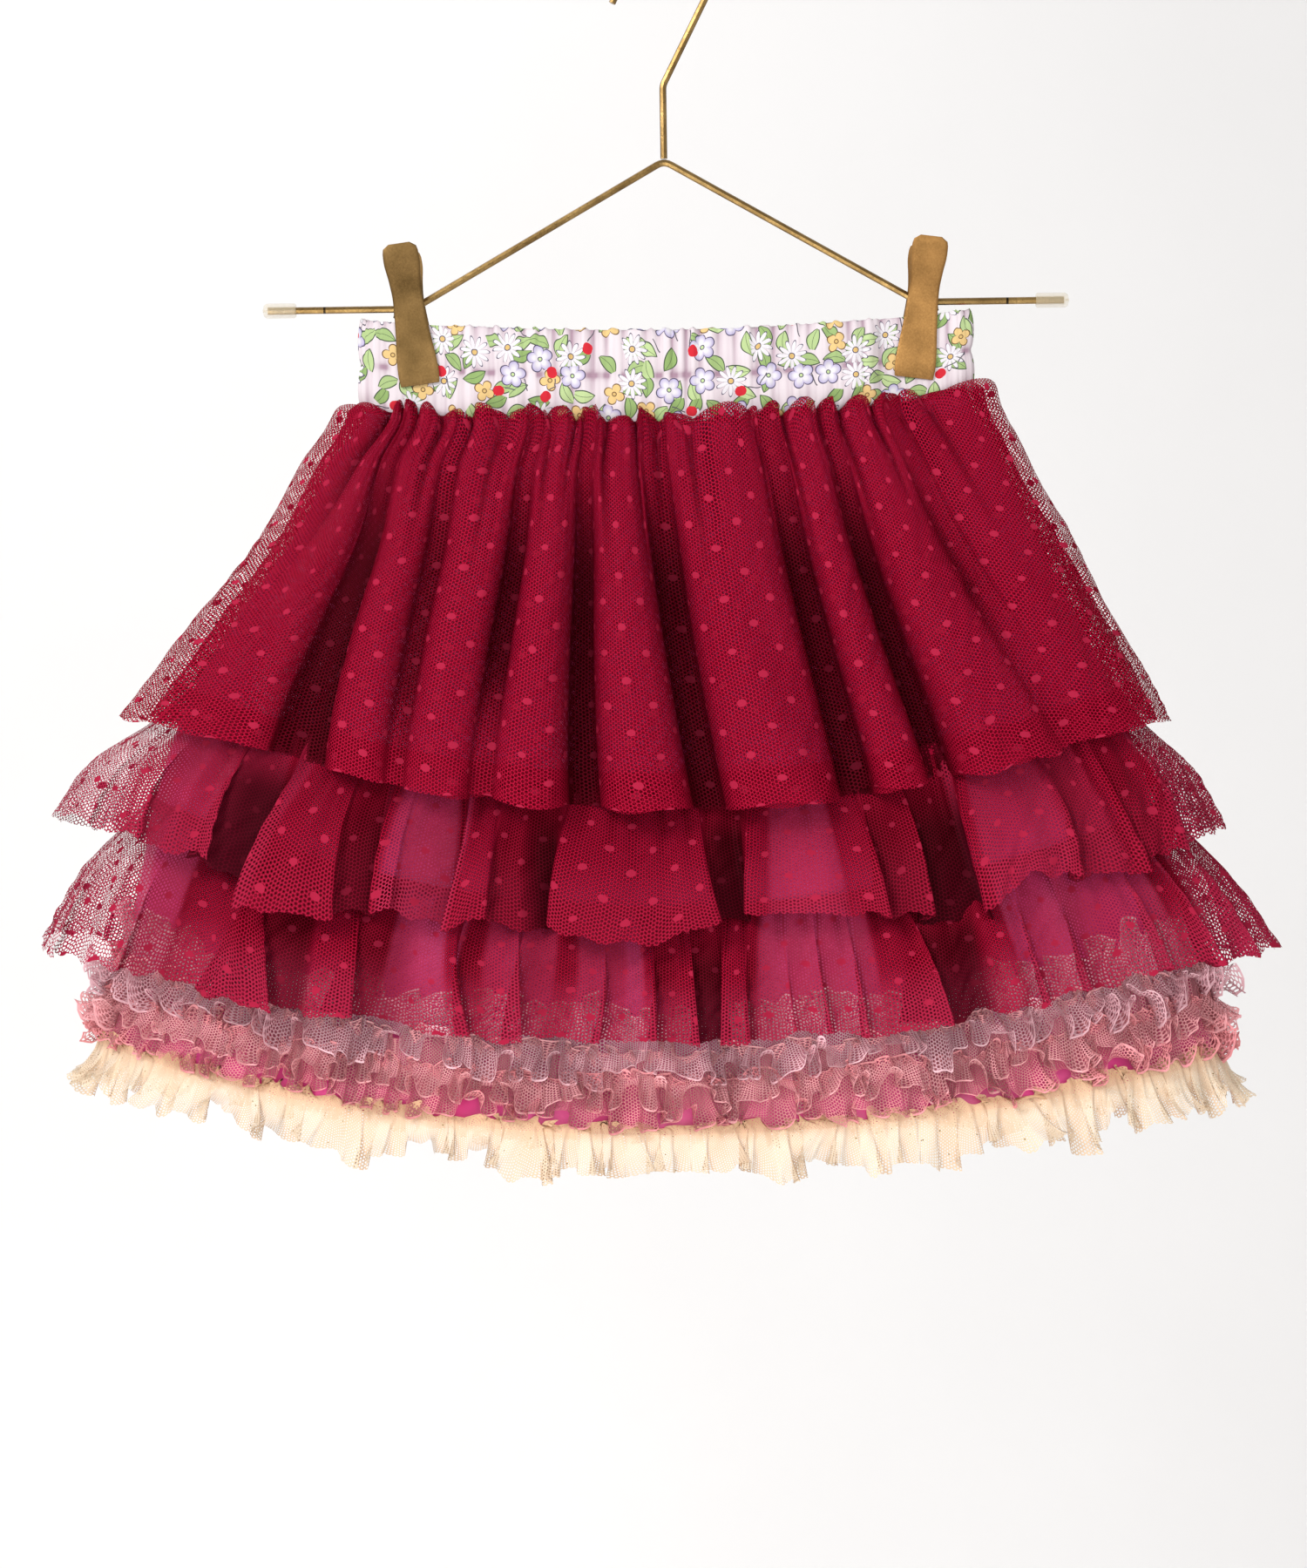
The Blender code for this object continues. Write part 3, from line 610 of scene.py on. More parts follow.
def ruffle_grid(row, crimp=0.5):
    """A strip that winds to and fro beyond its stitches, with loops and folds of uneven width.

    Crimp is the height of the fine waves over them.
    """
    per_wave, rows = 22, 14
    draw = np.random.default_rng(row.seed)
    columns = row.waves * per_wave
    base = even_turns(row.stitch, columns, 0.02)[None, :]
    widths = draw.uniform(0.5, 1.7, row.waves)
    edges = sums(widths) / widths.sum() * columns
    waves = np.interp(np.arange(columns), edges, np.arange(row.waves + 1))

    def each_loop(low, high):
        """A value for each loop, which changes smoothly between them."""
        values = draw.uniform(low, high, row.waves)
        return np.interp(waves, np.arange(-1, row.waves + 1) + 0.5, [values[-1], *values, values[0]])

    def soft(k, slowest, fastest, turn=base):
        return wander(turn, row.seed + k, slowest, fastest)

    tall = each_loop(0.45, 1.1)
    cluster = 0.9 + 0.2 * soft(1, 8, 26)
    share = shares(rows)
    stitch = (row.top - row.stitch) / (row.top - row.foot)
    below = np.clip((share - stitch) / (1 - stitch), 0, 1)
    above = np.clip((stitch - share) / stitch, 0, 1)
    free = below + above
    turned = 2 * pi * waves + 1.6 * above + 0.9 * soft(2, 30, 80) * free
    wave = 1.22 * (np.sqrt(0.04 + np.sin(turned / 2) ** 2) - 0.2)
    length = np.where(above > 0, row.top - row.stitch, row.stitch - row.foot)
    length = length * (1 + row.ragged * soft(6, 14, 60) + each_loop(-0.12, 0.12))
    dip = sum(np.exp(-(((-np.cos(base) - dip.place) / dip.width) ** 2)) for dip in DIPS)
    curl = np.where(above > 0, row.tuck, row.curl) * tall * cluster * wave * (1 - 0.35 * dip)
    curl = np.radians(np.clip(curl, 0, 170) + 6)
    height = np.sin(curl * free) / curl
    reach = (1 - np.cos(curl * free)) / curl
    gathers = 0.5 * np.sin(2 * turned + 1.3 * soft(5, 40, 90)) * (1 - 0.75 * free)
    out = GAP + 1.1 + gathers + length * reach + 0.5 * free**2 * soft(3, 60, 170)
    out = out + crimp * soft(8, 260, 420, base + 0.02 * free) * free
    sway = each_loop(-2.6, 2.6) * row.swing
    along = free * (row.swing * np.sin(2 * turned) * tall + 0.3 * np.sin(turned) + wave * sway)
    along = along + free * 1.8 * soft(4, 20, 60)
    tilt = wave * each_loop(-1.5, 1.5) * row.swing
    level = row.stitch + np.where(above > 0, 1, -1) * length * height + tilt * free**2
    level = level + 0.9 * free**2 * soft(9, 110, 240)
    # Painted shade: depth is low between the loops, by the stitches and where the skirt falls back in a deep
    # fold
    depth = (0.15 + 0.85 * ease(-0.1, 0.8, wave * free + 0.25 * (1 - free))) * (1 - 0.6 * dip)
    return place(level, base, out_at(BASE_OUT, level, base) + out, along), depth


# Materials


class Nodes:
    """Short calls that add shader nodes to a material and return their outputs."""

    def __init__(self, name):
        self.material = bpy.data.materials.new(name)
        self.material.use_nodes = True
        self.tree = self.material.node_tree
        self.shader = self.tree.nodes["Principled BSDF"]

    def add(self, kind, inputs=None, output=0, **settings):
        node = self.tree.nodes.new(kind)
        for key, value in settings.items():
            setattr(node, key, value)
        for key, value in (inputs or {}).items():
            self.feed(node.inputs[key], value)
        return node.outputs[output]

    def feed(self, socket, value):
        if isinstance(value, bpy.types.NodeSocket):
            self.tree.links.new(value, socket)
        else:
            socket.default_value = value

    def math(self, operation, *values, clamp=False):
        return self.add("ShaderNodeMath", dict(enumerate(values)), operation=operation, use_clamp=clamp)

    plus = partialmethod(math, "ADD")
    minus = partialmethod(math, "SUBTRACT")
    times = partialmethod(math, "MULTIPLY")
    scaled = partialmethod(math, "MULTIPLY_ADD")
    less = partialmethod(math, "LESS_THAN")
    more = partialmethod(math, "GREATER_THAN")
    most = partialmethod(math, "MAXIMUM")

    def vector(self, operation, *values, output=0):
        return self.add("ShaderNodeVectorMath", dict(enumerate(values)), output, operation=operation)

    def mix(self, share, one, other):
        """A colour between two, by a share from 0 to 1. The sockets of that kind have these numbers."""
        return self.add("ShaderNodeMix", {0: share, 6: one, 7: other}, 2, data_type="RGBA")

    def noise(self, scale, detail, output="Fac"):
        inputs = {"Vector": self.place(), "Scale": scale, "Detail": detail}
        return self.add("ShaderNodeTexNoise", inputs, output)

    def ramp(self, value, low, high, to_low=0.0, to_high=1.0):
        """A value's range mapped to another, with its ends held."""
        inputs = {"Value": value, "From Min": low, "From Max": high, "To Min": to_low, "To Max": to_high}
        return self.add("ShaderNodeMapRange", inputs)

    def flat(self):
        return self.add("ShaderNodeUVMap", uv_map="flat")

    def place(self):
        return self.add("ShaderNodeTexCoord", output="Object")

    def part(self, where, axis):
        return self.add("ShaderNodeSeparateXYZ", {0: where}, axis)

    def parts(self, where):
        """Its X and its Y."""
        return self.part(where, 0), self.part(where, 1)

    def channel(self, colour, k):
        return self.add("ShaderNodeSeparateColor", {0: colour}, k)

    def scale(self, value, by):
        return self.add("ShaderNodeVectorMath", {0: value, "Scale": by}, operation="SCALE")

    def shade(self, name):
        """A value that add_grid has stored on the sheet."""
        return self.add("ShaderNodeAttribute", output="Fac", attribute_name=name)

    def set(self, **sockets):
        """Feeds the shader's own sockets, their names written with underscores."""
        for key, value in sockets.items():
            self.feed(self.shader.inputs[key.replace("_", " ")], value)

    def bump(self, height, strength, distance):
        lifted = self.add("ShaderNodeBump", {"Height": height, "Strength": strength, "Distance": distance})
        self.feed(self.shader.inputs["Normal"], lifted)


def hex_net(n, where, pitch, slant=0.0):
    """How far each place is into a net's holes: 0 along its threads and up to 2 in the holes' middles."""
    across, down = n.parts(where)
    if slant:
        across = n.scaled(down, slant, across)
    half = n.math("COSINE", n.times(across, pi / pitch))
    tall = n.math("COSINE", n.times(down, pi * 3**0.5 / pitch))
    return n.times(half, n.plus(half, tall))


def flock_dots(n, where, rough):
    """1 inside staggered oval dots with rough edges."""
    cell = n.vector("DIVIDE", where, (DOT_SPACING, DOT_SPACING, 1.0))
    near = []
    for offset in ((0.0, 0.0, 0.0), (0.5, 0.5, 0.0)):
        at = n.vector("FRACTION", n.vector("ADD", cell, offset))
        at = n.vector("SUBTRACT", at, (0.5, 0.5, 0.0))
        at = n.vector("MULTIPLY", at, (*(2 * DOT_SPACING / size for size in DOT_SIZE), 0.0))
        near.append(n.vector("LENGTH", at, output="Value"))
    distance = n.math("MINIMUM", *near)
    return n.less(n.scaled(rough, 0.9, distance), 1.38)


def net(
    name, thread, light, pitch, open_from, deep, closed=0.5, dot=None, slant=0.0, roughness=0.62, edges=None,
    sheer=None,
):
    """Knitted net that is clear in its holes.

    Light is the lit thread colour: each thread is painted in it along its middle and in the thread colour at
    its sides, a painted highlight. Deep is the share of the colour that is left in the folds' valleys, where
    shade is painted, and closed is how much more the holes are filled there. Dots are flocked on if they
    have a colour, and edges are the two places along the cloth where a strip's solid edges lie; these take
    the lit colour as a painted highlight. Sheer is the threads' colour where one layer hangs free, lighter
    than the
    thread colour where folds lie behind: painted light.
    """
    n = Nodes(name)
    cloud = n.noise(55.0, 4.0, "Color")
    rough = n.channel(cloud, 0)
    where = n.vector("ADD", n.flat(), n.scale(cloud, NET_DRIFT))
    hole = hex_net(n, where, pitch, slant)
    depth = n.shade("depth")
    plies = n.shade("plies")
    opening = n.scaled(n.minus(1.0, depth), closed, open_from - 0.15)
    opening = n.scaled(plies, 1.45, opening)
    body = n.less(hole, n.scaled(rough, 0.3, opening))
    # Painted highlight: lit colour along each thread's middle, thread colour at its sides
    shade = n.ramp(hole, -0.2, 0.36, 1.0, 0.0)
    colour = n.mix(shade, thread, light)
    if dot:
        spot = flock_dots(n, where, rough)
        body = n.most(body, spot)
        colour = n.mix(spot, colour, dot)
    if edges:
        down = n.part(n.flat(), 1)
        top = n.more(down, edges[0] - EDGE_WIDTH)
        rim = n.plus(top, n.less(down, edges[1] + EDGE_WIDTH))
        body = n.most(body, rim)
        # The solid edges take the lit colour, a painted highlight, and stay out of the painted shade
        colour = n.mix(n.times(rim, 0.8), colour, light)
        depth = n.most(depth, n.times(rim, 0.9))
    # Painted light: lighter sheer threads where one layer hangs free
    if sheer:
        colour = n.mix(n.plus(plies, spot, clamp=True), sheer, colour)
    # Painted shade: the colour falls to deep where depth is low, in the folds' valleys
    colour = n.scale(colour, n.ramp(depth, 0.0, 1.0, deep, 1.0))
    n.set(Base_Color=colour, Alpha=body, Roughness=roughness, Sheen_Weight=0.03, Sheen_Roughness=0.5)
    n.set(Sheen_Tint=light, Specular_IOR_Level=0.02)
    return n.material


def satin():
    """The base skirt's soft magenta satin."""
    n = Nodes("magenta_satin")
    across, down = n.parts(n.flat())
    weave = n.math("SINE", n.scaled(down, 9000.0, n.times(across, 4500.0)))
    cloud = n.noise(30.0, 3.0)
    colour = n.mix(n.ramp(cloud, 0.3, 0.7), (0.64, 0.022, 0.18, 1), (0.80, 0.06, 0.30, 1))
    n.set(Base_Color=colour, Roughness=n.ramp(cloud, 0.3, 0.7, 0.34, 0.46), Sheen_Weight=0.35)
    n.bump(n.plus(n.times(weave, 0.05), cloud), 0.25, 0.0006)
    return n.material


def cream():
    """Fine cream net in many layers, with small dark gold specks, and painted shade by its seam and in its
    folds' valleys, where it is darker and warmer.
    """
    n = Nodes("cream_cotton")
    where = n.flat()
    down = n.part(where, 1)
    hole = hex_net(n, where, CREAM_PITCH)
    rough = n.noise(500.0, 1.0)
    by_edge = n.ramp(down, -0.006, -0.018)
    body = n.less(hole, n.minus(n.scaled(rough, 0.8, 1.15), by_edge))
    cells = {"Vector": where, "Scale": 330.0}
    away = n.add("ShaderNodeTexVoronoi", cells, "Distance")
    pick = n.add("ShaderNodeTexVoronoi", cells, "Color")
    speck = n.times(n.less(away, 0.09), n.more(pick, 0.55))
    depth = n.shade("depth")
    # Painted shade: lit is low by the seam and in the folds' valleys, where the dark warm colour is painted
    # in
    lit = n.times(n.ramp(down, -0.002, -0.009), n.ramp(depth, 0.0, 0.8, 0.35, 1.0))
    warm = n.mix(lit, (0.68, 0.43, 0.26, 1), (0.80, 0.66, 0.49, 1))
    colour = n.mix(speck, warm, (0.25, 0.17, 0.06, 1))
    n.set(Base_Color=colour, Alpha=n.most(body, speck), Roughness=0.8, Specular_IOR_Level=0.1)
    return n.material


def brass(name, dark, light, roughness, grain, ringed=False):
    """Antique metal: darker in patches, with a fine grain, and dark rings on the stubs if it is ringed."""
    n = Nodes(name)
    cloud = n.noise(90.0, 4.0)
    fine = n.noise(grain, 2.0)
    colour = n.mix(n.ramp(cloud, 0.3, 0.7), dark, light)
    if ringed:
        x = n.part(n.place(), 0)
        ring = within(n, n.minus(n.math("ABSOLUTE", x), STUB_RING), 0.0004)
        colour = n.mix(ring, colour, (0.03, 0.02, 0.01, 1))
    rough = n.ramp(fine, 0.3, 0.7, roughness - 0.06, roughness + 0.1)
    n.set(Base_Color=colour, Metallic=1.0, Roughness=rough)
    n.bump(fine, 0.15, 0.0002)
    return n.material


def petals(n, local, count, reach, waist):
    """How far each place lies inside a flower's outline, and its distance from the flower's middle."""
    away = n.vector("LENGTH", local, output="Value")
    x, y = n.parts(local)
    angle = n.math("ARCTAN2", y, x)
    wave = n.math("ABSOLUTE", n.math("COSINE", n.times(angle, n.times(count, 0.5))))
    wave = n.math("POWER", wave, 0.7)
    shape = n.plus(waist, n.times(wave, n.minus(1.0, waist)))
    return n.minus(n.times(shape, reach), away), away


def scatter(n, where, spacing, uneven, shift):
    """Places around scattered points, each turned its own way, and two random numbers for each point."""
    moved = n.vector("ADD", where, shift)
    inputs = {"Vector": moved, "Scale": 1 / spacing, "Randomness": uneven}
    middle = n.add("ShaderNodeTexVoronoi", inputs, "Position", voronoi_dimensions="2D")
    first, second = (n.channel(middle.node.outputs["Color"], k) for k in (0, 1))
    inputs = {"Vector": n.vector("SUBTRACT", moved, middle), "Angle": n.times(second, 2 * pi)}
    return n.add("ShaderNodeVectorRotate", inputs, rotation_type="Z_AXIS"), first, second


def within(n, value, half):
    return n.less(n.math("ABSOLUTE", value), half)


def between(n, value, low, high):
    return n.times(n.more(value, low), n.less(value, high))


def printed_cotton():
    """Pale cotton with a scattered print: daisies, lilac and yellow flowers, leaves, red buds and stalks."""
    n = Nodes("printed_cotton")
    where = n.flat()
    # Painted shade: the ground takes the dark colour where depth is low, in the gathers' valleys, along the
    # stitches and inside
    depth = n.shade("depth")
    cloth = n.mix(depth, (0.34, 0.22, 0.28, 1), (0.70, 0.625, 0.655, 1))

    # Leaves
    local, pick, other = scatter(n, where, LEAF_SPACING, 0.75, (0.31, 0.17, 0.0))
    x, y = n.parts(local)
    bow = n.scaled(n.times(x, x), 60.0, y)
    along = n.math("DIVIDE", x, LEAF_SIZE[0])
    wide = n.times(n.minus(1.0, n.times(along, along)), LEAF_SIZE[1])
    inside = n.minus(wide, n.math("ABSOLUTE", bow))
    chosen = n.less(pick, 0.80)
    fill = n.times(n.more(inside, 0.0), chosen)
    rib = n.times(within(n, bow, 0.00008), fill)
    line = n.times(within(n, inside, INK_WIDTH), chosen)
    leaf = n.mix(n.ramp(other, 0.2, 0.9), (0.25, 0.37, 0.13, 1), (0.46, 0.58, 0.28, 1))
    cloth = n.mix(fill, cloth, leaf)
    cloth = n.mix(n.most(rib, line), cloth, (0.06, 0.09, 0.05, 1))

    # Three kinds of flower, picked by chance
    local, pick, other = scatter(n, where, FLOWER_SPACING, 0.6, (0.07, 0.43, 0.0))
    daisy = n.less(pick, 0.28)
    lilac = between(n, pick, 0.28, 0.60)
    yellow = between(n, pick, 0.60, 0.82)
    chosen = n.less(pick, 0.82)
    count = n.plus(n.scaled(daisy, 7.0, 4.0), lilac)
    reach = n.scaled(daisy, 0.0017, n.scaled(lilac, 0.0010, 0.0036))
    waist = n.minus(0.45, n.scaled(daisy, 0.28, n.times(lilac, -0.15)))
    inside, away = petals(n, local, count, reach, waist)
    fill = n.times(n.more(inside, 0.0), chosen)
    tint = n.mix(yellow, (0.70, 0.67, 0.70, 1), (0.70, 0.49, 0.21, 1))
    rim = n.times(n.ramp(inside, 0.0022, 0.0), lilac)
    tint = n.mix(rim, tint, (0.40, 0.35, 0.56, 1))
    cloth = n.mix(fill, cloth, tint)
    line = n.times(within(n, inside, INK_WIDTH), chosen)
    line_colour = n.mix(yellow, (0.08, 0.07, 0.12, 1), (0.16, 0.09, 0.04, 1))
    cloth = n.mix(line, cloth, line_colour)
    heart = n.scaled(daisy, 0.0003, 0.0007)
    middle = n.times(n.less(away, heart), chosen)
    eye = n.mix(lilac, (0.62, 0.42, 0.16, 1), (0.48, 0.60, 0.30, 1))
    cloth = n.mix(middle, cloth, eye)
    ring = n.times(within(n, n.minus(away, heart), INK_WIDTH * 0.8), chosen)
    cloth = n.mix(ring, cloth, line_colour)

    # Red buds and thin curled stalks
    local, pick, _ = scatter(n, where, BUD_SPACING, 0.8, (0.53, 0.29, 0.0))
    inside, away = petals(n, local, 2.0, 0.0020, 0.80)
    bud = n.times(n.more(inside, 0.0), n.less(pick, 0.42))
    cloth = n.mix(bud, cloth, (0.56, 0.020, 0.035, 1))
    x, y = n.parts(local)
    curl = n.scaled(n.math("SINE", n.times(x, 700.0)), 0.0006, y)
    stalk = n.times(within(n, curl, INK_WIDTH), between(n, x, 0.0023, 0.0072))
    cloth = n.mix(n.times(stalk, n.less(pick, 0.9)), cloth, (0.10, 0.09, 0.11, 1))

    grain = n.noise(1400.0, 2.0)
    n.set(Base_Color=cloth, Roughness=n.ramp(grain, 0.3, 0.7, 0.78, 0.92), Specular_IOR_Level=0.2)
    n.bump(grain, 0.25, 0.0002)
    return n.material


def clear_plastic():
    n = Nodes("clear_cap")
    cloud = n.noise(300.0, 2.0)
    n.set(Base_Color=(0.72, 0.62, 0.42, 1.0), Roughness=n.ramp(cloud, 0.3, 0.7, 0.08, 0.2))
    n.set(Alpha=0.24, Specular_IOR_Level=0.9)
    return n.material


# Garment


def dress(made, node):
    """A piece rides on the only body. It replaces a node, if the solids have one for it."""
    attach(made, "root")
    if node:
        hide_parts(node)


def sew(name, node, slot, points, finish, fair, held="gathered", rests_on=(SKIRT,), **shades):
    """A piece of cloth and its cut, whose length is measured at fair, a share down."""
    flat = flat_grid(points, fair)
    made = add_grid(name, points, flat, finish, **shades)
    dress(made, node)


def nets():
    """The overskirt's two layers and the flounces."""
    # The crimson net's lit thread colour, for its painted highlight, and its dots' colour. The tier's thread
    # is a darker copy, painted shade of the folds stacked behind, and its sheer colour a lighter one,
    # painted light where one layer hangs free.
    crimson = dict(light=(0.40, 0.0060, 0.036, 1), dot=(0.36, 0.014, 0.045, 1))
    red = (0.128, 0.0005, 0.005, 1)
    over = net("crimson_net", red, pitch=CRIMSON_PITCH, open_from=0.38, deep=0.24, **crimson)
    under = net("crimson_net_under", red, pitch=UNDER_PITCH, open_from=0.8, deep=0.18, slant=0.18, **crimson)
    tier = net(
        "crimson_net_tier", (0.088, 0.0004, 0.004, 1), pitch=CRIMSON_PITCH, open_from=0.14, deep=0.20,
        closed=1.0, edges=(-0.003, -1.0), sheer=(0.38, 0.020, 0.060, 1), **crimson,
    )
    for layer, finish in zip(LAYERS, (over, under)):
        points, depth = overskirt_grid(layer)
        sew(layer.name, layer.node, "crimson_net", points, finish, 0.85, rests_on=(BAND,), depth=depth)
    for part in FLOUNCES:
        name = part.node + "_net"
        points, depth, plies = flounce_grid(part)
        sew(name, part.node, "crimson_net", points, tier, 0.82, depth=depth, plies=plies)


def ruffles():
    """The three rows of net strips and the cream frill at the hem."""
    # Each net's thread colour and its lit colour, for the threads' painted highlight and the strips' lit
    # edges
    tints = {
        "lilac_pink_net": ((0.64, 0.25, 0.31, 1), (0.92, 0.60, 0.65, 1)),
        "rose_net": ((0.66, 0.22, 0.245, 1), (0.92, 0.47, 0.49, 1)),
        "dusty_rose_net": ((0.60, 0.155, 0.185, 1), (0.88, 0.37, 0.39, 1)),
    }
    fair = 0.75
    for row in RUFFLES:
        points, depth = ruffle_grid(row)
        edges = (0.0, -cut_of(flat_grid(points, fair))[1])
        finish = net(
            row.slot, *tints[row.slot], STRIP_PITCH, open_from=0.34, deep=0.45, roughness=0.75, edges=edges
        )
        sew(row.name + "_strip", row.name, row.slot, points, finish, fair, depth=depth)
    points, depth = ruffle_grid(HEM_RUFFLE, crimp=0.4)
    sew("hem_ruffle_frill", HEM_RUFFLE.name, HEM_RUFFLE.slot, points, cream(), fair, depth=depth)


def base():
    """The magenta satin skirt that the flounces and ruffles are sewn to."""
    share = shares(56)
    turn = even_turns(UPPER_HEM, 360)[None, :]
    level = BAND_SEAM + (BASE_HEM - BAND_SEAM) * share
    soft = 0.8 * wander(turn + 0.2 * share, 61, 10, 34) * ease(0.05, 0.4, share)
    points = place(level, turn, out_at(BASE_OUT, level, turn) - 0.6 + soft)
    sew(SKIRT, "base_skirt", "magenta_satin", points, satin(), 0.8, "hung", (BAND,))


def band():
    """The waistband: two puffed channels outside, over the top edge and plain inside."""
    turn = even_turns(BAND_SEAM, 1100)[None, :]
    columns = turn.shape[1]
    crest, reach, _ = pleats(columns, 76, 71)
    fine, _, _ = pleats(columns, 190, 73)
    soft = wander(turn, 72, 60, 200)
    height = shares(34)
    level = BAND_SEAM + (BAND_TOP - BAND_SEAM) * height
    channel = np.abs(np.sin(2 * pi * height)) ** 0.6
    fold = 1.5 * (crest - 0.6) * (0.6 + 0.4 * np.sin(9 * reach + 3 * height)) + 0.22 * (fine - 0.5)
    out = 1.4 * channel - 0.75 + fold * (0.6 + 0.4 * channel) + 0.15 * soft
    free = 1 - grip(level, turn)
    outside = place(level + (0.5 * soft + 0.7 * (crest - 0.5)) * height**4 * free, turn, out * free)
    # Painted shade: depth is low in the gathers' valleys, between the channels and along the stitches
    stitch_shade = 0.9 * np.exp(-(((height - 0.5) / 0.035) ** 2)) * ease(0.9, 0.4, crest)
    depth = np.clip(0.72 + 1.05 * fold + 0.2 * channel - stitch_shade, 0, 1)
    height = np.linspace(1, 0, 16)[:, None]
    inside = place(BAND_SEAM + (BAND_TOP - BAND_SEAM) * height, turn, -1.8 - 0.2 * (1 - height))
    points = np.concatenate([outside, inside])
    # The inside gets a fixed, darker painted shade
    depth = np.concatenate([depth, np.full((len(inside), columns), 0.4)])
    clips = ("clip_left_front", "clip_right_front")
    sew(BAND, "waistband", "printed_cotton", points, printed_cotton(), 0.3, rests_on=clips, depth=depth)


def clip_plate(side, name, face, finish):
    """An hourglass plate with softened edges. Face is -1 for the front and 1 for the back."""
    rows, columns = 34, 16
    down = np.linspace(0, 1, rows)
    places, *measures = zip(*PLATE)
    half, away, bow = (curve_through(down, places, values)[:, None] for values in measures)
    across = np.linspace(-1, 1, columns)
    across = np.sign(across) * np.abs(across) ** 0.75
    down = down[:, None]
    line = np.array([side * (CLIP_FOOT[0] - CLIP_TOP[0]), CLIP_FOOT[1] - CLIP_TOP[1]])
    height = np.linalg.norm(line)
    line = line / height
    x = side * CLIP_TOP[0] + line[0] * height * down + line[1] * half * across
    z = CLIP_TOP[1] + line[1] * height * down - line[0] * half * across
    to_edge = np.minimum((1 - np.abs(across)) * half, np.minimum(down, 1 - down) * height)
    near = np.clip(to_edge / CLIP_BEVEL, 0, 1)
    lower = CLIP_BEVEL * (1 - np.sqrt(1 - (1 - near) ** 2)) * 0.8
    top = away + CLIP_BOW * bow * (1 - across**2) - lower
    under = np.broadcast_to(away - CLIP_PLATE, top.shape)
    outer = np.stack([x, face * top, z], axis=-1)
    inner = np.stack([x, face * under, z], axis=-1)
    loop = np.concatenate([outer, inner[:, ::-1]], axis=1)
    node = f"clip_{name}_{'front' if face < 0 else 'back'}"
    made = add_grid(node + "_plate", loop, flat_grid(loop), finish)
    close_ends(made, rows, 2 * columns)
    dress(made, node)


def close_ends(made, rows, columns):
    """Closes the two ends of a ring of columns, whose second half lies behind the first."""
    form = bmesh.new()
    form.from_mesh(made.data)
    form.verts.ensure_lookup_table()
    for row in (0, rows - 1):
        first = row * columns
        for k in range(columns // 2 - 1):
            quad = (first + k, first + k + 1, first + columns - 2 - k, first + columns - 1 - k)
            form.faces.new([form.verts[q] for q in quad])
    bmesh.ops.recalc_face_normals(form, faces=form.faces)
    form.to_mesh(made.data)
    form.free()
    made.data.shade_smooth()
    made.data.set_sharp_from_angle(angle=radians(50))


def coil(side, name, finish):
    """The clip's spring, wound round the stub."""
    turns, per_turn, thick = 5.5, 20, 0.42
    count = int(turns * per_turn)
    data = bpy.data.curves.new(f"clip_{name}_coil", "CURVE")
    data.dimensions = "3D"
    data.bevel_depth = thick * MM
    data.bevel_resolution = 2
    data.use_fill_caps = True
    spline = data.splines.new("POLY")
    spline.points.add(count - 1)
    radius = SPRING_RADIUS - thick
    for k, point in enumerate(spline.points):
        angle = 2 * pi * k / per_turn
        x = side * (SPRING_PLACE - SPRING_LENGTH + thick + (SPRING_LENGTH - 2 * thick) * k / (count - 1))
        y, z = radius * sin(angle), STUB + radius * cos(angle)
        point.co = (x * MM, y * MM, z * MM, 1.0)
    data.materials.append(finish)
    dress(put(data.name, data), f"clip_{name}_spring")


def hanger():
    """The hanger's own solids with their materials, and the clips' plates and springs."""
    wire = brass(
        "antique_brass_wire", (0.16, 0.094, 0.031, 1), (0.41, 0.265, 0.10, 1), 0.30, grain=900.0, ringed=True
    )
    steel = brass("spring_steel", (0.10, 0.08, 0.06, 1), (0.26, 0.23, 0.19, 1), 0.4, grain=900.0)
    cap = clear_plastic()
    for node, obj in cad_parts.items():
        finish = {"hanger": wire, "end": cap}.get(node.split("_")[0])
        if finish:
            obj.data.materials.clear()
            obj.data.materials.append(finish)
            obj.data.shade_smooth()
    # The left plates take a darker copy and the right plates a lighter copy of one brass: painted shade and
    # painted light by side
    for side, name, dark, light in (
        (-1, "left", (0.135, 0.080, 0.028, 1), (0.25, 0.150, 0.056, 1)),
        (1, "right", (0.23, 0.120, 0.039, 1), (0.40, 0.215, 0.072, 1)),
    ):
        plate = brass(f"antique_brass_plate_{name}", dark, light, 0.55, grain=1500.0)
        clip_plate(side, name, -1, plate)
        clip_plate(side, name, 1, plate)
        coil(side, name, steel)


# View and light


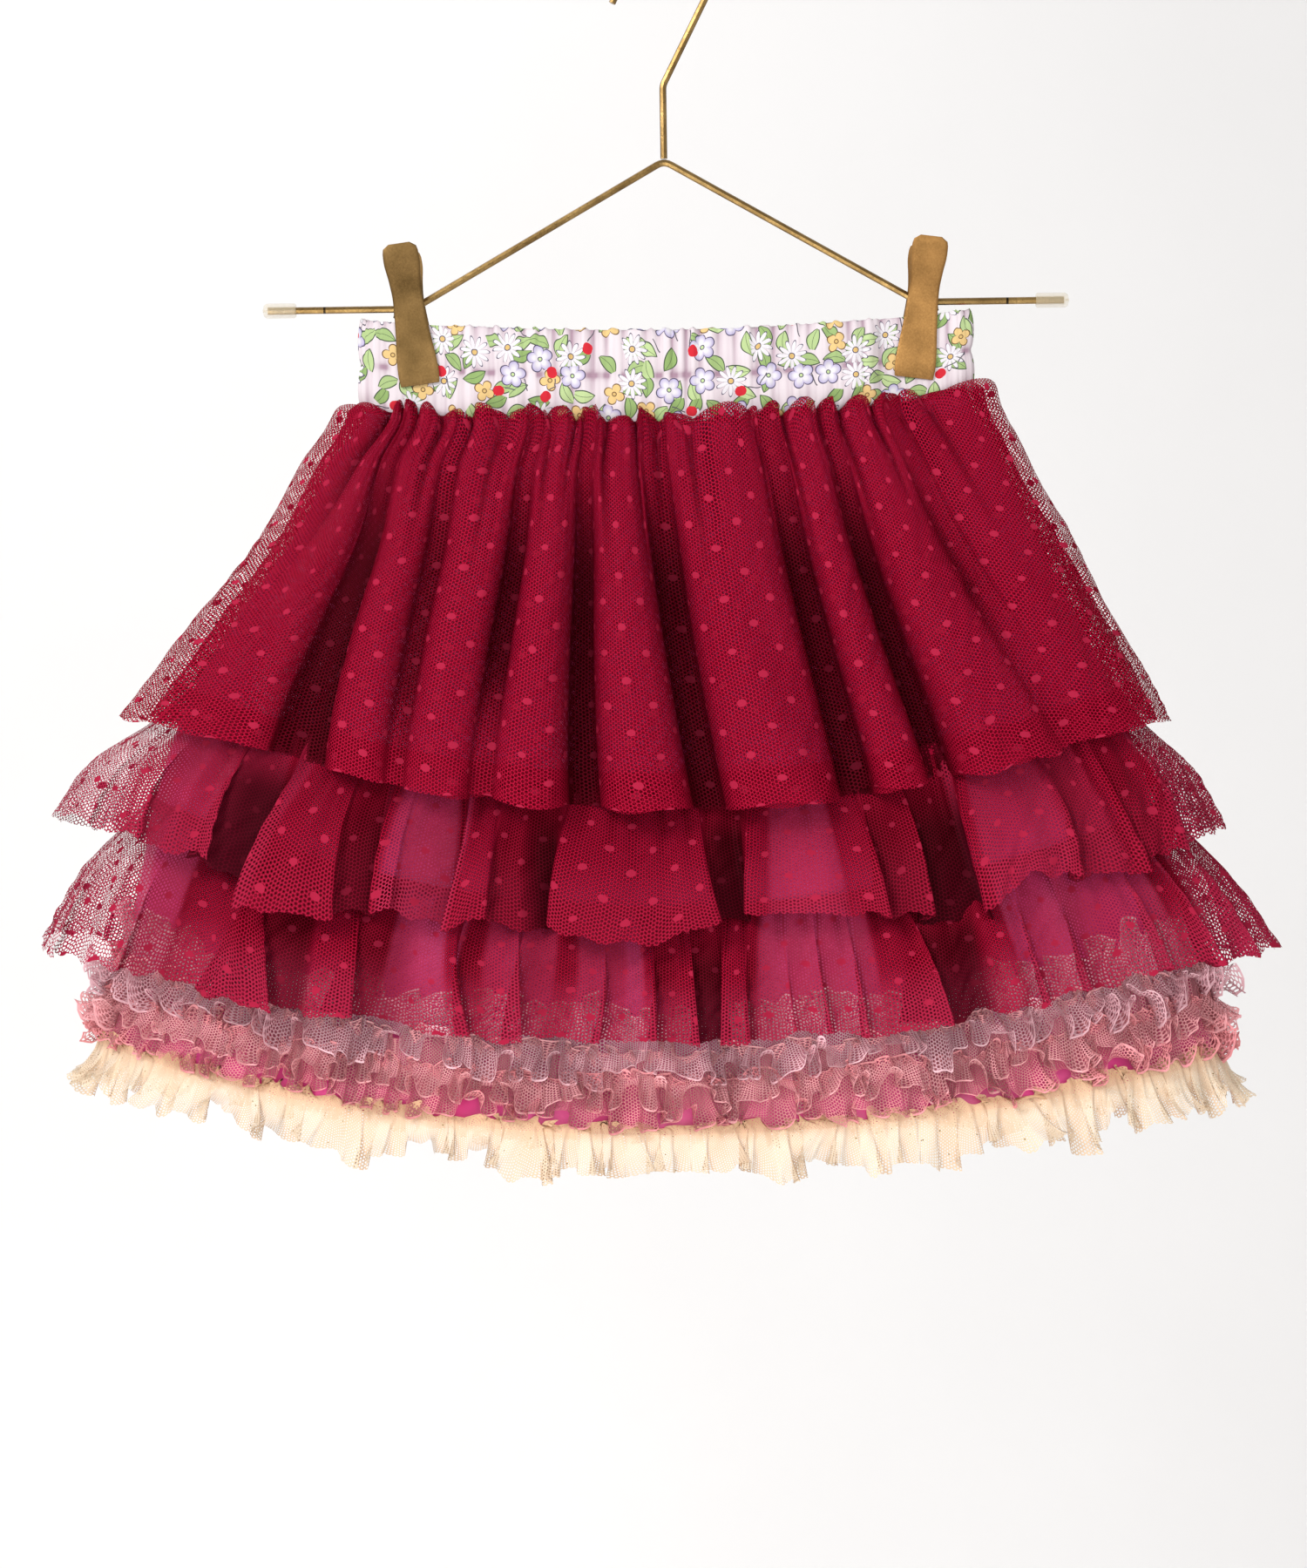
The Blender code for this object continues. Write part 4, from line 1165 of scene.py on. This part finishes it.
def camera():
    data = bpy.data.cameras.new("camera")
    data.sensor_fit = "VERTICAL"
    data.sensor_height = 24.0
    data.sensor_width = data.sensor_height * PHOTO_WIDTH / PHOTO_HEIGHT
    data.lens = data.sensor_height * VIEW_DISTANCE / (PHOTO_HEIGHT * PIXEL)
    data.clip_start = 0.05
    data.clip_end = 20.0
    made = put("camera", data)
    right = Vector((cos(VIEW_ROLL), 0.0, -sin(VIEW_ROLL)))
    up = Vector((sin(VIEW_ROLL), 0.0, cos(VIEW_ROLL)))
    back = right.cross(up)
    turn = Matrix((right, up, back)).transposed().to_4x4()
    made.matrix_world = Matrix.Translation((VIEW_CENTRE + back * VIEW_DISTANCE) * MM) @ turn
    bpy.context.scene.camera = made


def stage():
    """A pale wall far behind, which curves forward into a pale floor below the view."""
    n = Nodes("pale_wall")
    grain = n.noise(4.0, 3.0)
    n.set(Base_Color=n.mix(grain, (0.80, 0.79, 0.785, 1), (0.84, 0.83, 0.825, 1)), Roughness=0.9)
    wall, floor, half, bend, steps = 2.3, -1.6, 3.6, 0.6, 12
    profile = [(wall, 2.4)]
    for k in range(steps + 1):
        a = pi / 2 * k / steps
        profile.append((wall - bend + bend * cos(a), floor + bend - bend * sin(a)))
    profile.append((-3.6, floor))
    points = np.array([[(x, y, z) for x in (-half, half)] for y, z in profile]) / MM
    add_grid("backdrop", points, flat_grid(points, closed=False), n.material, closed=False)


def light():
    """An even white surrounding, three lamps on the garment and two on the wall, in metres."""
    world = bpy.data.worlds.new("studio")
    world.use_nodes = True
    background = world.node_tree.nodes["Background"].inputs
    background["Color"].default_value = (1.0, 0.99, 0.985, 1.0)
    background["Strength"].default_value = 0.55
    bpy.context.scene.world = world
    for name, spot, aim, size, power in (
        ("key", (-0.9, -1.3, 0.55), (0.0, 0.0, -0.28), 0.7, 18.0),
        ("fill", (0.35, -1.5, -0.15), (0.0, 0.0, -0.3), 1.0, 8.0),
        ("low", (-0.25, -1.2, -0.95), (0.0, 0.0, -0.4), 0.8, 5.0),
        ("wall_wash", (-0.9, 0.6, 1.5), (-0.2, 2.3, -0.2), 1.2, 24.0),
        ("wall_wash_low", (-0.5, 0.8, -1.4), (0.0, 2.3, -0.8), 1.2, 11.0),
    ):
        data = bpy.data.lights.new(name, "AREA")
        data.shape = "DISK"
        data.size = size
        data.energy = power
        made = put(name, data)
        made.location = spot
        made.rotation_euler = (Vector(aim) - Vector(spot)).to_track_quat("-Z", "Y").to_euler()
    bpy.context.scene.view_settings.view_transform = "Standard"


camera()
stage()
light()
nets()
base()
band()
ruffles()
hanger()
